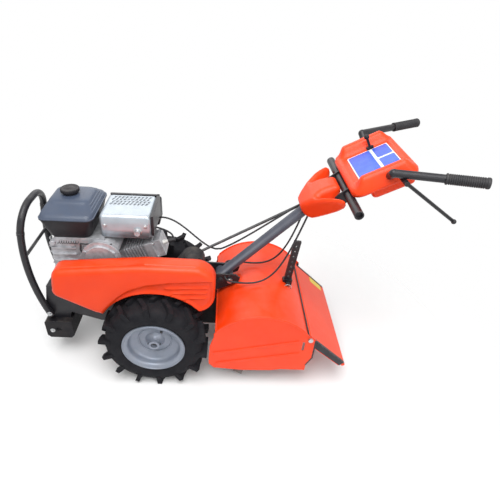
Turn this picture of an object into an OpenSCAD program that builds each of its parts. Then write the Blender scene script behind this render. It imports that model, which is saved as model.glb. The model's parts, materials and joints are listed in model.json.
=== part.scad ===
// Walk-behind rotary tiller with rear tines, as an assembly of named solids.
// Millimetres. +X is forward, +Y is the operator's left, +Z is up, the floor is z = 0.
// Every module is written from the wheel axle; stand() moves it into the shared frame.

/* [Overall] */
// Wheel axle to the front of the bumper
front_reach = 480; // [460:2:500]
// Wheel axle to the rear end of the grips
rear_reach = 976; // [950:2:1000]

/* [Wheels] */
// Tyre diameter over the lugs
tyre_d = 406; // [396:2:416]
// Tyre width
tyre_w = 118; // [108:2:126]
// Distance between the two tyres' middles
track = 394; // [388:2:404]
// Rim flange diameter
rim_d = 236; // [228:2:244]
// Axle diameter
axle_d = 25; // [22:0.5:28]
// Lugs on each side of a tyre
lug_count = 14; // [10:1:18]
// Height of a lug above the casing
lug_h = 17; // [12:1:20]
// Thickness of a lug
lug_w = 17; // [12:1:20]
// Radial play of a turning fit
run_play = 0.05; // [0.02:0.01:0.09]

/* [Tines] */
// Tine shaft position behind the axle
tine_x = -400; // [-406:1:-396]
// Tine shaft height
tine_z = 176; // [172:1:184]
// Radius of the tine tips
tine_r = 154; // [140:1:160]
// Tine bar width
tine_w = 38; // [30:1:44]
// Tine bar thickness
tine_t = 8; // [6:0.5:10]

/* [Tine hood] */
// Outer radius of the hood's top sheet
hood_r = 216; // [212:1:220]
// Height of the hood's centre line
hood_z = 155; // [150:1:160]
// Half width over the side shields
hood_half = 240; // [234:1:246]
// Sheet thickness
sheet = 3; // [2:0.5:4]
// Front edge angle of the top sheet
hood_front = 38; // [37:1:42]
// Length of the rear flap
flap_len = 219; // [205:1:230]
// Angle of the flap below level
flap_drop = 42; // [36:1:48]

/* [Depth stake] */
// Stake position behind the axle, at the hood
stake_x = -511; // [-516:1:-506]
// Backward lean of the stake
stake_lean = 5; // [3:0.5:7]
// Stake length
stake_len = 546; // [530:2:560]
// Stake bar width
stake_w = 28; // [24:1:32]
// Stake bar thickness
stake_t = 10; // [8:0.5:12]
// Distance between adjustment holes
hole_pitch = 24; // [20:1:26]

/* [Engine] */
// Front of the bumper to the crankshaft
crank_x = 280; // [270:1:290]
// Height of the engine deck
deck_z = 354; // [348:1:358]
// Crankshaft height above the deck
crank_h = 106; // [102:1:110]
// Cylinder angle above level
lean = 20; // [17:1:21]

/* [Belt guard] */
// Outer face of the belt guard
guard_y = 200; // [195:1:206]
// Depth of the belt guard
guard_deep = 68; // [60:1:74]
// Wall of the belt guard
guard_t = 3; // [2:0.5:4]
// Gap between the tyre and the guard's arch
arch_gap = 12; // [9:0.5:14]

/* [Bumper] */
// Bumper tube diameter
bump_d = 25; // [22:1:28]
// Height of the bumper's top bar
bump_z = 700; // [680:2:720]

/* [Handle] */
// Handle pivot behind the axle
pivot_x = -241; // [-246:1:-236]
// Handle pivot height
pivot_z = 370; // [366:1:374]
// Column slope
column_slope = 47; // [45:0.5:49]
// Column tube diameter
column_d = 40; // [36:1:44]
// Handlebar height above the console's front edge
grip_z = 99; // [85:1:115]
// Half the distance between the grips
grip_y = 262; // [254:1:268]
// Handlebar tube diameter
bar_d = 25; // [22:1:28]
// Grip diameter
grip_d = 33; // [30:1:36]
// Grip length
grip_len = 112; // [100:2:124]

/* [Console] */
// Front edge of the console ahead of the grips' rear ends
console_x = 326; // [320:1:332]
// Height of the console's front edge above the column's middle line
console_z = 26.4; // [20:0.2:34]
// Console slope
console_slope = 29; // [26:1:32]
// Console length along its slope
console_len = 196; // [180:2:210]
// Half the console's width
console_half = 150; // [140:2:156]

/* [Hidden] */

tyre_r = tyre_d / 2;
axle_z = tyre_r;
axle_x = (rear_reach - front_reach) / 2;
wheel_y = track / 2;
shaft_x = front_reach - crank_x;
crank_z = deck_z + crank_h;
hair = 0.03;
case_half = 32;
rail_y = 86;
rail_t = 6;
nose_x = front_reach - 34;
hood_in = hood_r - sheet;
drive_x = -130;
drive_z = 462;
belt_y = guard_y - 48;
hinge_x = tine_x - 183;
hinge_z = hood_z + 112;
flap_half = hood_half - 11;
orange = [0.93, 0.25, 0.06];
black = [0.06, 0.06, 0.065];
shroud_tilt = 25;
front_x = console_x - rear_reach;
column_run = (pivot_x - front_x) / cos(column_slope);
column_len = column_run - 80;
front_z = on_column(column_run)[1] + console_z;
bar_z = front_z + grip_z;
bar_root = [front_x - 87, 172, front_z + 78];
bar_end = [-rear_reach + 6, grip_y, bar_z];
bar_way = (bar_end - bar_root) / norm(bar_end - bar_root);
bar_seat = bar_root + [-6, -34, -24];
shroud_at = on_column(column_run - 167) - [0, 22.4];
cross_x = front_x - 4;
cross_z = front_z - 49;
steel = [0.62, 0.64, 0.66];
alloy = [0.66, 0.67, 0.68];

// The point on the column's middle line at a distance from the pivot, in X and Z.
function on_column(d) = [pivot_x - d * cos(column_slope), pivot_z + d * sin(column_slope)];

module stand() { translate([axle_x, 0, 0]) children(); }

// A flat outline in X and Z, from y0 to y1.
module slab(y0, y1) { translate([0, y1, 0]) rotate([90, 0, 0]) linear_extrude(y1 - y0) children(); }

// A round bar along Y.
module bar_y(x, z, y0, y1, r) { translate([x, y1, z]) rotate([90, 0, 0]) cylinder(h = y1 - y0, r = r, $fn = 48); }

// A round bar between two points.
module rod(a, b, r) {
  v = b - a;
  translate(a) rotate([0, acos(v[2] / norm(v)), atan2(v[1], v[0])]) cylinder(h = norm(v), r = r, $fn = 32);
}

// Two circles and the band between their outer tangents, a hair inside them.
module link(a, ra, b, rb) {
  pa = ra - hair;
  pb = rb - hair;
  d = norm(b - a);
  t = atan2(b[1] - a[1], b[0] - a[0]);
  w = acos((ra - rb) / d);
  translate(a) circle(r = ra, $fn = 72);
  translate(b) circle(r = rb, $fn = 72);
  polygon([a + pa * [cos(t + w), sin(t + w)], a + pa * [cos(t - w), sin(t - w)],
           b + pb * [cos(t - w), sin(t - w)], b + pb * [cos(t + w), sin(t + w)]]);
}

module both() { children(); mirror([0, 1, 0]) children(); }

// A smooth path through four control points, sampled evenly.
function bezier(p, n) = [for (i = [0:n]) let (t = i / n, s = 1 - t)
  s * s * s * p[0] + 3 * s * s * t * p[1] + 3 * s * t * t * p[2] + t * t * t * p[3]];
function way(p, i) = let (v = p[min(i + 1, len(p) - 1)] - p[max(i - 1, 0)]) v / norm(v);
function across(t) = let (v = cross(t, abs(t[2]) > 0.9 ? [1, 0, 0] : [0, 0, 1])) v / norm(v);

// A tube of radius r along a path.
module hose(p, r, sides) {
  n = len(p);
  points = [for (i = [0:n - 1]) let (t = way(p, i), u = across(t), v = cross(t, u))
    for (k = [0:sides - 1]) p[i] + r * (cos(360 * k / sides) * u + sin(360 * k / sides) * v)];
  walls = [for (i = [0:n - 2], k = [0:sides - 1]) let (a = i * sides, j = (k + 1) % sides)
    [a + k, a + j, a + sides + j, a + sides + k]];
  ends = [[for (k = [sides - 1:-1:0]) k], [for (k = [0:sides - 1]) (n - 1) * sides + k]];
  polyhedron(points, concat([for (f = walls) [f[3], f[2], f[1], f[0]]],
                            [for (f = ends) [for (k = [sides - 1:-1:0]) f[k]]]));
}

// Running gear

module gear_case() color(black) stand() difference() {
  union() {
    slab(-case_half, case_half) {
      link([0, axle_z], 74, [tine_x, tine_z], 56);
      link([0, axle_z + 8], 66, [drive_x, drive_z - 30], 46);
      polygon([[-170, drive_z - 46], [-206, 288], [-262, 232], [-60, axle_z], [-60, 330]]);
    }
    slab(-case_half - 6, case_half + 6) difference() {
      link([0, axle_z], 80, [-120, 215], 60);
      link([0, axle_z], 68, [-120, 215], 48);
    }
    bar_y(0, axle_z, -case_half - 22, case_half + 22, 30);
    bar_y(tine_x, tine_z, -case_half - 8, case_half + 8, 34);
    bar_y(drive_x, drive_z, case_half, belt_y - 34, 26);
    translate([52, -rail_y, 196]) cube([44, 2 * rail_y, 84]);
    // Saddle that carries the hood
    intersection() {
      translate([tine_x + 20, -case_half, tine_z]) cube([110, 2 * case_half, 240]);
      bar_y(tine_x, hood_z, -case_half, case_half, hood_in);
    }
  }
  bar_y(0, axle_z, -200, 200, axle_d / 2);
  bar_y(tine_x, tine_z, -200, 200, axle_d / 2 + run_play);
  bar_y(drive_x, drive_z, belt_y - 60, belt_y, 10);
}

module wheel_axle() color(steel) stand()
  bar_y(0, axle_z, -wheel_y - 22, wheel_y + 22, axle_d / 2);

// One wheel's rim, its outer side towards +Y.
module rim() difference() {
  union() {
    rotate([-90, 0, 0]) rotate_extrude($fn = 96) polygon([
      [96, -47], [100, -47], [rim_d / 2, -50], [rim_d / 2, -55], [rim_d / 2 - 7, -55], [96, -49]]);
    rotate([-90, 0, 0]) rotate_extrude($fn = 96) polygon([
      [96, -49], [100, -47], [100, 47], [rim_d / 2, 50], [rim_d / 2, 55], [rim_d / 2 - 7, 55],
      [98, 49], [94, 22], [60, 8], [18, 8], [18, 3], [61, 3], [96, 17]]);
    rotate([-90, 0, 0]) translate([0, 0, -wheel_y + case_half + 24]) cylinder(h = wheel_y - case_half - 24 + 40, r = 21, $fn = 64);
  }
  rotate([-90, 0, 0]) translate([0, 0, -300]) cylinder(h = 600, r = axle_d / 2 + run_play, $fn = 64);
}

module rim_left() color([0.6, 0.64, 0.7]) stand() translate([0, wheel_y, axle_z]) rim();
module rim_right() color([0.6, 0.64, 0.7]) stand() translate([0, -wheel_y, axle_z]) mirror([0, 1, 0]) rim();

// One tyre, its outer side towards +Y; the lugs point forward at the top.
module tyre() {
  half = tyre_w / 2;
  crown = tyre_r - lug_h;
  rotate([-90, 0, 0]) difference() {
    union() {
      rotate_extrude($fn = 96) polygon([
        [100.05, -46.8], [rim_d / 2 + 0.05, -49.7], [rim_d / 2 + 6, -half + 5], [rim_d / 2 + 24, -half],
        [crown - 28, -half + 1], [crown - 10, -half + 9], [crown - 2, -half + 26], [crown, 0],
        [crown - 2, half - 26], [crown - 10, half - 9], [crown - 28, half - 1], [rim_d / 2 + 24, half],
        [rim_d / 2 + 6, half - 5], [rim_d / 2 + 0.05, 49.7], [100.05, 46.8]]);
      intersection() {
        cylinder(h = 2 * tyre_w, r = tyre_r, center = true, $fn = 128);
        for (s = [-1, 1], i = [0:lug_count - 1]) rotate([0, 0, (i + s / 4) * 360 / lug_count])
        rotate([0, 90, 0]) translate([0, 0, crown - 26]) linear_extrude(lug_h + 30)
          polygon([[s * -4, 16], [s * -4, 16 + lug_w], [s * (half - 20), -12 + lug_w], [s * half, -16 + lug_w],
                   [s * half, -16], [s * (half - 20), -12]]);
      }
    }
    translate([0, 0, -100]) cylinder(h = 200, r = 100.05, $fn = 96);
  }
}

module tyre_left() color([0.09, 0.09, 0.095]) stand() translate([0, wheel_y, axle_z]) tyre();
module tyre_right() color([0.09, 0.09, 0.095]) stand() translate([0, -wheel_y, axle_z]) mirror([0, 1, 0]) tyre();

// Front

module engine_frame() color(black) stand() {
  translate([70, -rail_y - rail_t, deck_z - 6]) cube([nose_x - 90, 2 * rail_y + 2 * rail_t, 6]);
  both() slab(rail_y, rail_y + rail_t)
    polygon([[40, deck_z - 6], [nose_x - 20, deck_z - 6], [nose_x, 250], [nose_x, 190], [nose_x - 86, 190], [nose_x - 94, 222],
             [235, 181], [52, 176], [30, 230]]);
  translate([nose_x - 42, -rail_y, 196]) cube([6, 2 * rail_y, deck_z - 202]);
}

module front_weight() color(black) stand() difference() {
  slab(-118, 118) polygon([[nose_x - 96, 112], [nose_x - 84, 100], [nose_x, 100], [nose_x + 12, 112], [nose_x + 12, 182],
                           [nose_x + 4, 190], [nose_x - 96, 190]]);
  both() bar_y(nose_x - 40, 146, 112, 130, 11);
}

// A hoop with bowed legs, leaning back from the height where the bends start.
module bumper() color(black) stand() {
  leg_y = rail_y + rail_t + bump_d / 2;
  bow_r = 790;
  bow_x = front_reach - bump_d / 2;
  bow_z = 466;
  bend = 88;
  foot = asin((bow_z - 214) / bow_r);
  lean_back = asin((bump_z - bump_d / 2 - bend - bow_z) / bow_r);
  knee = [bow_x - bow_r * (1 - cos(lean_back)), bow_z + bow_r * sin(lean_back)];
  both() translate([bow_x - bow_r, leg_y, bow_z]) rotate([90, 0, 0]) rotate([0, 0, -foot])
    rotate_extrude(angle = foot + lean_back, $fn = 360) translate([bow_r, 0]) circle(r = bump_d / 2, $fn = 48);
  translate([knee[0], 0, knee[1]]) rotate([0, -lean_back, 0]) {
    both() translate([0, leg_y, -6]) cylinder(h = 12, r = bump_d / 2 + 1, $fn = 48);
    both() translate([0, leg_y - bend, 0]) rotate([90, 0, 90])
      rotate_extrude(angle = 90, $fn = 64) translate([bend, 0]) circle(r = bump_d / 2, $fn = 48);
    bar_y(0, bend, -leg_y + bend, leg_y - bend, bump_d / 2);
  }
  bar_y(bow_x - 1, bow_z + 30, -leg_y, leg_y, 6);
}

// Belt drive

// Lobes of the guard's outline, as X, Z and radius.
GUARD = [[shaft_x + 108, crank_z + 14, 40], [20, crank_z + 10, 72], [drive_x - 20, drive_z + 4, 74],
         [drive_x - 20, drive_z - 50, 73], [tyre_r + 2, axle_z + 137, 20], [shaft_x + 124, crank_z - 40, 32]];

module guard_outline(t) difference() {
  union() {
    for (i = [0, 1, 2, 4, 5]) let (a = GUARD[i], b = GUARD[(i + 1) % len(GUARD)])
      link([a[0], a[1]], a[2] - t, [b[0], b[1]], b[2] - t);
    polygon([for (g = GUARD) [g[0], g[1]]]);
  }
  translate([0, axle_z]) circle(r = tyre_r + arch_gap + t, $fn = 96);
}

// The lower part of the guard's face, set back from the rest.
module guard_low(t) polygon([[172, axle_z + 127], [150, axle_z + 169 - t], [122, axle_z + 199 - t], [84, axle_z + 230 - t],
                             [26, axle_z + 256 - t], [-60, axle_z + 272 - t], [-260, axle_z + 291 - t],
                             [-260, axle_z + 97], [172, axle_z - 3]]);

module belt_guard() color(orange) stand() {
  difference() {
    slab(guard_y - guard_deep, guard_y) guard_outline(0);
    slab(guard_y - 9, guard_y + 5) guard_low(0);
    slab(guard_y - guard_deep - 5, guard_y - 9 - guard_t) guard_outline(guard_t);
    slab(guard_y - 30, guard_y - guard_t) difference() { guard_outline(guard_t); guard_low(-guard_t); }
  }
  slab(guard_y - 9, guard_y - 5) intersection() {
    guard_outline(8);
    for (i = [0:3]) translate([drive_x - 76, drive_z - 78 + 22 * i]) square([146, 7]);
  }
  // Struts to the frame and to the column bracket
  bar_y(GUARD[4][0], GUARD[4][1], rail_y + rail_t, guard_y - 1, 8);
  bar_y(drive_x - 42, drive_z - 100, case_half + 6, guard_y - 10, 7);
}

module sheave(r) difference() {
  union() {
    for (s = [-1, 1]) translate([0, 0, s * 9 - 2.5]) cylinder(h = 5, r = r, $fn = 64);
    translate([0, 0, -11]) cylinder(h = 22, r = r - 9, $fn = 64);
  }
  translate([0, 0, -20]) cylinder(h = 60, r = 10, $fn = 48);
}

module engine_pulley() color(steel) stand() translate([shaft_x, belt_y, crank_z]) rotate([-90, 0, 0]) sheave(30);
module drive_pulley() color(steel) stand() translate([drive_x, belt_y, drive_z]) rotate([-90, 0, 0]) {
  sheave(38);
  translate([0, 0, -60]) cylinder(h = 74, r = 10, $fn = 48);
}
module drive_belt() color([0.08, 0.08, 0.08]) stand() slab(belt_y - 6.4, belt_y + 6.4) difference() {
  link([shaft_x, crank_z], 30.5, [drive_x, drive_z], 38.5);
  link([shaft_x, crank_z], 21, [drive_x, drive_z], 29);
}

// Engine

module crankcase() color(alloy) stand() difference() {
  union() {
    slab(-58, 92) {
      translate([shaft_x, crank_z]) circle(r = 84, $fn = 96);
      translate([shaft_x - 92, deck_z]) square([184, 40]);
      link([shaft_x, crank_z], 76, [shaft_x - 10, crank_z + 40], 66);
    }
    // Block under the tank
    slab(-56, 78) polygon([[shaft_x + 20, deck_z], [shaft_x + 160, deck_z], [shaft_x + 176, deck_z + 22],
                           [shaft_x + 176, deck_z + 190], [shaft_x + 158, deck_z + 219], [shaft_x - 20, deck_z + 219],
                           [shaft_x - 20, deck_z + 191]]);
    for (i = [0:5]) translate([shaft_x + 168, -48, deck_z + 46 + 25 * i]) cube([16, 118, 6]);
    bar_y(shaft_x, crank_z, 92, belt_y + 11, 10);
  }
  // Seat of the leaning cylinder
  cylinder_frame() translate([-400, -58, -60]) cube([330, 200, 120]);
}

module side_cover() color(alloy) stand() difference() {
  union() {
    slab(92, 100) link([shaft_x, crank_z], 82, [shaft_x - 8, crank_z + 40], 72);
    slab(100, 108) link([shaft_x, crank_z], 66, [shaft_x - 8, crank_z + 38], 58);
    for (a = [0:45:315]) bar_y(shaft_x - 3 + 74 * cos(a), crank_z + 10 + 83 * sin(a), 100, 105, 5.5);
  }
  bar_y(shaft_x, crank_z, 80, 130, 24);
}

// The cylinder's own frame, its axis along -X.
module cylinder_frame() { translate([shaft_x, 0, crank_z - 22]) rotate([0, lean, 0]) children(); }

module engine_cylinder() color(alloy) stand() cylinder_frame() {
  translate([-178, -44, -36]) cube([108, 88, 72]);
  for (i = [0:6]) translate([-102 - 11 * i, -56, -42]) cube([4, 112, 84]);
  translate([-208, -57, -42]) cube([30, 114, 84]);
  translate([-236, -40, -36]) cube([28, 80, 72]);
}

module fan_housing() color(black) stand() slab(-112, -58) {
  translate([shaft_x, crank_z]) circle(r = 100, $fn = 96);
  link([shaft_x, crank_z], 90, [shaft_x - 90, crank_z + 44], 62);
}

module recoil_starter() color(orange) stand() difference() {
  union() {
    bar_y(shaft_x, crank_z, -138, -112, 84);
    bar_y(shaft_x, crank_z, -150, -138, 62);
    translate([shaft_x + 40, -136, crank_z + 58]) cube([34, 22, 34]);
  }
  for (a = [0:30:330]) translate([shaft_x, 0, crank_z]) rotate([0, a, 0]) translate([36, -170, -4]) cube([20, 30, 8]);
}

// Above the deck and from the crankshaft.
module on_engine() { translate([shaft_x, 0, deck_z]) children(); }

// Height of the tank's floor above the deck.
tank_floor = 219;

// A tub below its widest line and a hipped roof above it.
module fuel_tank() color([0.16, 0.19, 0.24]) stand() on_engine() translate([0, 0, tank_floor]) intersection() {
  slab(-200, 200) polygon([[24, 0], [174, 0], [190, 70], [192, 86], [172, 127], [28, 127], [4, 86], [6, 70]]);
  rotate([90, 0, 90]) linear_extrude(400)
    polygon([[-100, 0], [80, 0], [98, 70], [100, 86], [36, 127], [-80, 127], [-120, 86], [-118, 70]]);
}

module fuel_cap() color(black) stand() on_engine() translate([108, -22, tank_floor + 127]) {
  cylinder(h = 8, r = 27, $fn = 48);
  translate([0, 0, 8]) cylinder(h = 13, r = 33, $fn = 48);
}

module muffler() color([0.45, 0.46, 0.48]) stand() on_engine() {
  translate([-176, -92, 212]) cube([156, 146, 93]);
  bar_y(-140, 246, 54, 78, 11);
}

module heat_shield() color([0.86, 0.87, 0.88]) stand() on_engine() difference() {
  translate([-188, -100, 221]) cube([182, 164, 87]);
  translate([-185, -97, 186]) cube([176, 158, 119]);
  bar_y(-140, 246, 50, 90, 14);
  for (i = [0:9], j = [0:4]) translate([-172 + 16.5 * i + (j % 2) * 6, -84 + 17 * j, 286]) cylinder(h = 40, r = 4, $fn = 16);
}

module air_cleaner() color(black) stand() on_engine() {
  translate([-190, -196, 164]) cube([126, 84, 92]);
  translate([-176, -206, 176]) cube([98, 10, 66]);
}

// Tines

module tine_shaft() color(steel) stand() bar_y(tine_x, tine_z, -hood_half + 14, hood_half - 14, axle_d / 2);

// Hub position, first angle and the way the tips bend.
TINES = [[76, 0, 1], [138, 30, -1], [196, 60, -1]];

module tines() difference() {
  union() {
    translate([0, case_half + 8.5, 0]) rotate([-90, 0, 0]) cylinder(h = 180, r = 20, $fn = 48);
    for (row = TINES) {
      slab(row[0] - tine_t / 2, row[0] + tine_t / 2) for (i = [0, 1])
        rotate(-row[1] - 90 * i) square([tine_w, 2 * tine_r - 40], center = true);
      for (i = [0:3]) rotate([0, row[1] + 90 * i, 0])
        translate([-tine_w / 2 + 1, row[0], tine_r - 22]) rotate([row[2] * (i % 2 == 0 ? 1 : -1) * -52, 0, 0])
          translate([0, -tine_t / 2, -4]) cube([tine_w - 2, tine_t, 37]);
    }
  }
  rotate([90, 0, 0]) cylinder(h = 1000, r = axle_d / 2, center = true, $fn = 48);
}

module tines_left() color([0.3, 0.3, 0.31]) stand() translate([tine_x, 0, tine_z]) tines();
module tines_right() color([0.3, 0.3, 0.31]) stand() translate([tine_x, 0, tine_z]) mirror([0, 1, 0]) tines();

// Hood

// The wedge of the circle between two angles.
module wedge(r, a, b) polygon(concat([[0, 0]], [for (i = [0:8]) r * [cos(a + (b - a) * i / 8), sin(a + (b - a) * i / 8)]]));

module tine_hood() color(orange) stand() difference() {
  slab(-hood_half + sheet, hood_half - sheet) translate([tine_x, hood_z]) intersection() {
    difference() { circle(r = hood_r, $fn = 96); circle(r = hood_in, $fn = 96); }
    wedge(hood_r + 20, hood_front, 145.5);
  }
  stake_frame() translate([-stake_w / 2 - 5, -stake_t / 2 - 5, -60]) cube([stake_w + 10, stake_t + 10, 120]);
}

module shield_outline() difference() {
  union() {
    intersection() {
      translate([tine_x, hood_z]) circle(r = hood_r, $fn = 96);
      polygon([[tine_x + 176, hood_z - 8], [tine_x + 176, hood_z + 175], [tine_x + 150, hood_z + 265],
               [tine_x - 160, hood_z + 265], [tine_x - 185, hood_z + 135], [tine_x - 185, hood_z - 60], [tine_x + 176, hood_z - 60]]);
    }
    polygon([[tine_x + 168, hood_z + 134], [tine_x + 190, hood_z + 60], [tine_x + 193, hood_z - 4], [tine_x + 192, hood_z - 40],
             [tine_x + 170, hood_z - 62], [tine_x + 60, hood_z - 72], [tine_x - 50, hood_z - 68], [tine_x - 150, hood_z - 48],
             [tine_x - 184, hood_z - 28], [tine_x - 206, hood_z + 14], [tine_x - 206, hood_z + 107], [tine_x - 194, hood_z + 121],
             [tine_x - 170, hood_z + 125]]);
    translate([hinge_x, hinge_z]) circle(r = 13, $fn = 48);
  }
  translate([hinge_x, hinge_z]) circle(r = 5, $fn = 32);
  translate([tine_x - 166, hood_z + 51]) square([9, 46]);
}

module side_shield() {
  slab(hood_half - sheet, hood_half) shield_outline();
  // Pressed ribs
  for (p = [[[tine_x + 172, hood_z + 22], [tine_x - 138, hood_z + 98]], [[tine_x + 160, hood_z - 34], [tine_x - 148, hood_z + 34]]])
    slab(hood_half, hood_half + 3) link(p[0], 5, p[1], 5);
}
module side_shield_left() color(orange) stand() side_shield();
module side_shield_right() color(orange) stand() mirror([0, 1, 0]) side_shield();

module flap_rod() color(steel) stand() {
  bar_y(hinge_x, hinge_z, -hood_half, hood_half, 5);
  both() bar_y(hinge_x, hinge_z, hood_half, hood_half + 7, 9);
}

module levelling_flap() color(orange) stand() translate([hinge_x, 0, hinge_z]) difference() {
  union() {
    bar_y(0, 0, -flap_half, flap_half, 8);
    rotate([0, -flap_drop, 0]) {
      translate([-flap_len + 8, -flap_half + 1, -sheet / 2]) cube([flap_len - 14, 2 * flap_half - 2, sheet]);
      bar_y(-flap_len + 8, -7, -flap_half, flap_half, 7.5);
      both() slab(flap_half - 2 - sheet, flap_half - 2) polygon([[-14, 0], [-flap_len + 10, 0], [-flap_len + 14, -24], [-60, -28], [-22, -14]]);
    }
  }
  bar_y(0, 0, -400, 400, 5 + run_play);
}

// Depth stake, its own frame at the hood with Z along the bar

module stake_frame() { translate([stake_x, 0, 330]) rotate([0, -stake_lean, 0]) children(); }

module stake_bracket() color(black) stand() difference() {
  union() {
    stake_frame() translate([-stake_w / 2 - 5, -stake_t / 2 - 5, -36]) cube([stake_w + 10, stake_t + 10, 66]);
    stake_frame() bar_y(0, 22, stake_t / 2 + 0.3, stake_t / 2 + 26, 4);
    stake_frame() bar_y(0, 22, stake_t / 2 + 18, stake_t / 2 + 24, 8);
  }
  stake_frame() translate([-stake_w / 2 - 0.3, -stake_t / 2 - 0.3, -60]) cube([stake_w + 0.6, stake_t + 0.6, 120]);
}

module depth_stake() color(black) stand() difference() {
  stake_frame() translate([-stake_w / 2, -stake_t / 2, -340]) cube([stake_w, stake_t, stake_len + 9]);
  translate([-700, -100, -60]) cube([400, 200, 60]);
  stake_frame() for (i = [0:7]) bar_y(0, 22 + hole_pitch * i, -20, 20, 4.5);
}

// Handle

module column_bracket() color(black) stand() {
  both() slab(case_half, case_half + 6) difference() {
    polygon([[-128, 350], [-146, 404], [-238, 400], [-300, 398], [-318, 384], [-312, 362], [-284, 350], [-232, 322], [-190, 330]]);
    translate([pivot_x, pivot_z]) circle(r = 7, $fn = 32);
    translate([pivot_x, pivot_z]) intersection() {
      difference() { circle(r = 44, $fn = 64); circle(r = 30, $fn = 64); }
      wedge(60, 153, 196);
    }
  }
  bar_y(pivot_x, pivot_z, -case_half - 6, case_half + 6, 7);
  both() bar_y(pivot_x, pivot_z, case_half + 6, case_half + 13, 11);
  both() bar_y(-204, 366, case_half + 6, case_half + 13, 9);
}

module column_frame() { translate([pivot_x, 0, pivot_z]) rotate([0, column_slope, 0]) children(); }

module handle_column() color(black) stand() difference() {
  union() {
    bar_y(pivot_x, pivot_z, -case_half + 1, case_half - 1, 20);
    column_frame() translate([-column_len, 0, 0]) rotate([0, 90, 0]) cylinder(h = column_len - 4, r = column_d / 2, $fn = 64);
    slab(-case_half + 1, case_half - 1) link([pivot_x, pivot_z], 18, [pivot_x - 37, pivot_z + 1], 14);
  }
  bar_y(pivot_x, pivot_z, -60, 60, 7 + run_play);
  bar_y(pivot_x - 37, pivot_z + 1, -60, 60, 6);
}

module clamp_bolt() color(steel) stand() {
  bar_y(pivot_x - 37, pivot_z + 1, -case_half - 7, case_half + 7, 6);
  both() bar_y(pivot_x - 37, pivot_z + 1, case_half + 7, case_half + 15, 11);
}

module console_frame() { translate([front_x, 0, front_z]) rotate([0, console_slope, 0]) children(); }

// The shroud's front face is the plane x = 0 of this frame.
module shroud_frame() { translate([shroud_at[0], 0, shroud_at[1]]) rotate([0, -shroud_tilt, 0]) children(); }
function on_shroud(y, up, out) = [shroud_at[0] - up * sin(shroud_tilt) + out * cos(shroud_tilt), y,
                                  shroud_at[1] + up * cos(shroud_tilt) + out * sin(shroud_tilt)];

module console_shroud() color(orange) stand() difference() {
  union() {
    shroud_frame() rotate([90, 0, -90]) linear_extrude(34)
      polygon([[-40, 0], [40, 0], [92, 52], [150, 100], [158, 124], [140, 128], [96, 108], [48, 92], [-48, 92],
               [-96, 108], [-140, 128], [-158, 124], [-150, 100], [-92, 52]]);
    column_frame() translate([0, 0, -32]) linear_extrude(74)
      polygon([[-column_run - 20, 138], [-column_run + 40, 138], [-column_run + 176, 46],
               [-column_run + 176, -46], [-column_run + 40, -138], [-column_run - 20, -138]]);
  }
  shroud_frame() translate([0, -300, -100]) cube([200, 600, 300]);
  column_frame() translate([-column_len, 0, 0]) rotate([0, 90, 0]) cylinder(h = column_len, r = column_d / 2, $fn = 64);
  console_frame() translate([-400, -300, -28]) cube([800, 600, 300]);
  console_frame() translate([-186, -110, -78]) cube([140, 220, 300]);
  bar_y(cross_x, cross_z, -300, 300, 15);
  translate([front_x - 250, -300, front_z - 335]) cube([240, 600, 262]);
}

module console_panel() color(orange) stand() difference() {
  console_frame() union() {
    translate([0, 0, -28]) linear_extrude(28) {
      translate([-console_len / 2, 0]) square([console_len - 60, 2 * console_half], center = true);
      for (s = [-1, 1], u = [-30, -console_len + 30]) translate([u, s * (console_half - 30)]) circle(r = 30, $fn = 64);
      translate([-console_len / 2, 0]) square([console_len, 2 * console_half - 60], center = true);
    }
    translate([-186, -110, -78]) cube([140, 220, 60]);
    for (s = [-1, 1]) translate([0, s * 132, -2]) rotate([0, -90, 0]) rotate_extrude($fn = 64) intersection() {
      link([0, 44], 32, [0, 154], 31.9);
      square([40, 200]);
    }
  }
  console_frame() for (s = [-1, 1]) translate([-300, s * 260 - 100, -100]) cube([400, 200, 200]);
  both() {
    rod(bar_seat, bar_root, bar_d / 2);
    translate(bar_root) sphere(r = bar_d / 2 + 1, $fn = 48);
  }
}

module cross_bar() color(black) stand() difference() {
  bar_y(cross_x, cross_z, -210, 210, 15);
  both() bar_y(cross_x, cross_z, 200, 220, 11.5);
}

// A straight tube to the grip and an elbow into the console's side.
module handlebar() {
  rod(bar_seat, bar_root, bar_d / 2);
  translate(bar_root) sphere(r = bar_d / 2 + 1, $fn = 48);
  rod(bar_root, bar_end - 4 * bar_way, bar_d / 2);
}
module handlebar_left() color(black) stand() handlebar();
module handlebar_right() color(black) stand() mirror([0, 1, 0]) handlebar();

module grip() difference() {
  rod(bar_end - grip_len * bar_way, bar_end, grip_d / 2);
  rod(bar_end - (grip_len + 4) * bar_way, bar_end - 4 * bar_way, bar_d / 2);
}
module grip_left() color([0.04, 0.04, 0.04]) stand() grip();
module grip_right() color([0.04, 0.04, 0.04]) stand() mirror([0, 1, 0]) grip();

// Hangs under the handlebar from a boss on the console's side.
module lever() {
  boss = bar_root + [-34, 0, -18];
  tip = boss + [-183, 28, -122];
  bar_y(boss[0], boss[2], 160, 206, 8);
  rod([boss[0], tip[1], boss[2]], tip, 5.5);
  translate(tip) sphere(r = 8, $fn = 32);
}
module lever_left() color(black) stand() lever();
module lever_right() color(black) stand() mirror([0, 1, 0]) lever();

module throttle_lever() color(black) stand() console_frame() translate([-112, -86, 0]) {
  translate([-12, -5, 0]) cube([24, 10, 8]);
  translate([-4, -3, 8]) cube([8, 6, 34]);
  translate([0, 0, 46]) sphere(r = 9, $fn = 32);
}

module shift_rod() color(steel) stand() difference() {
  union() {
    rod([drive_x + 10, -52, drive_z - 44], [on_column(column_len)[0], -52, on_column(column_len)[1] - 36], 5.5);
    translate([drive_x + 10, -52, drive_z - 44]) sphere(r = 9, $fn = 32);
  }
  shroud_frame() translate([-200, -300, -100]) cube([200, 600, 300]);
}

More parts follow.
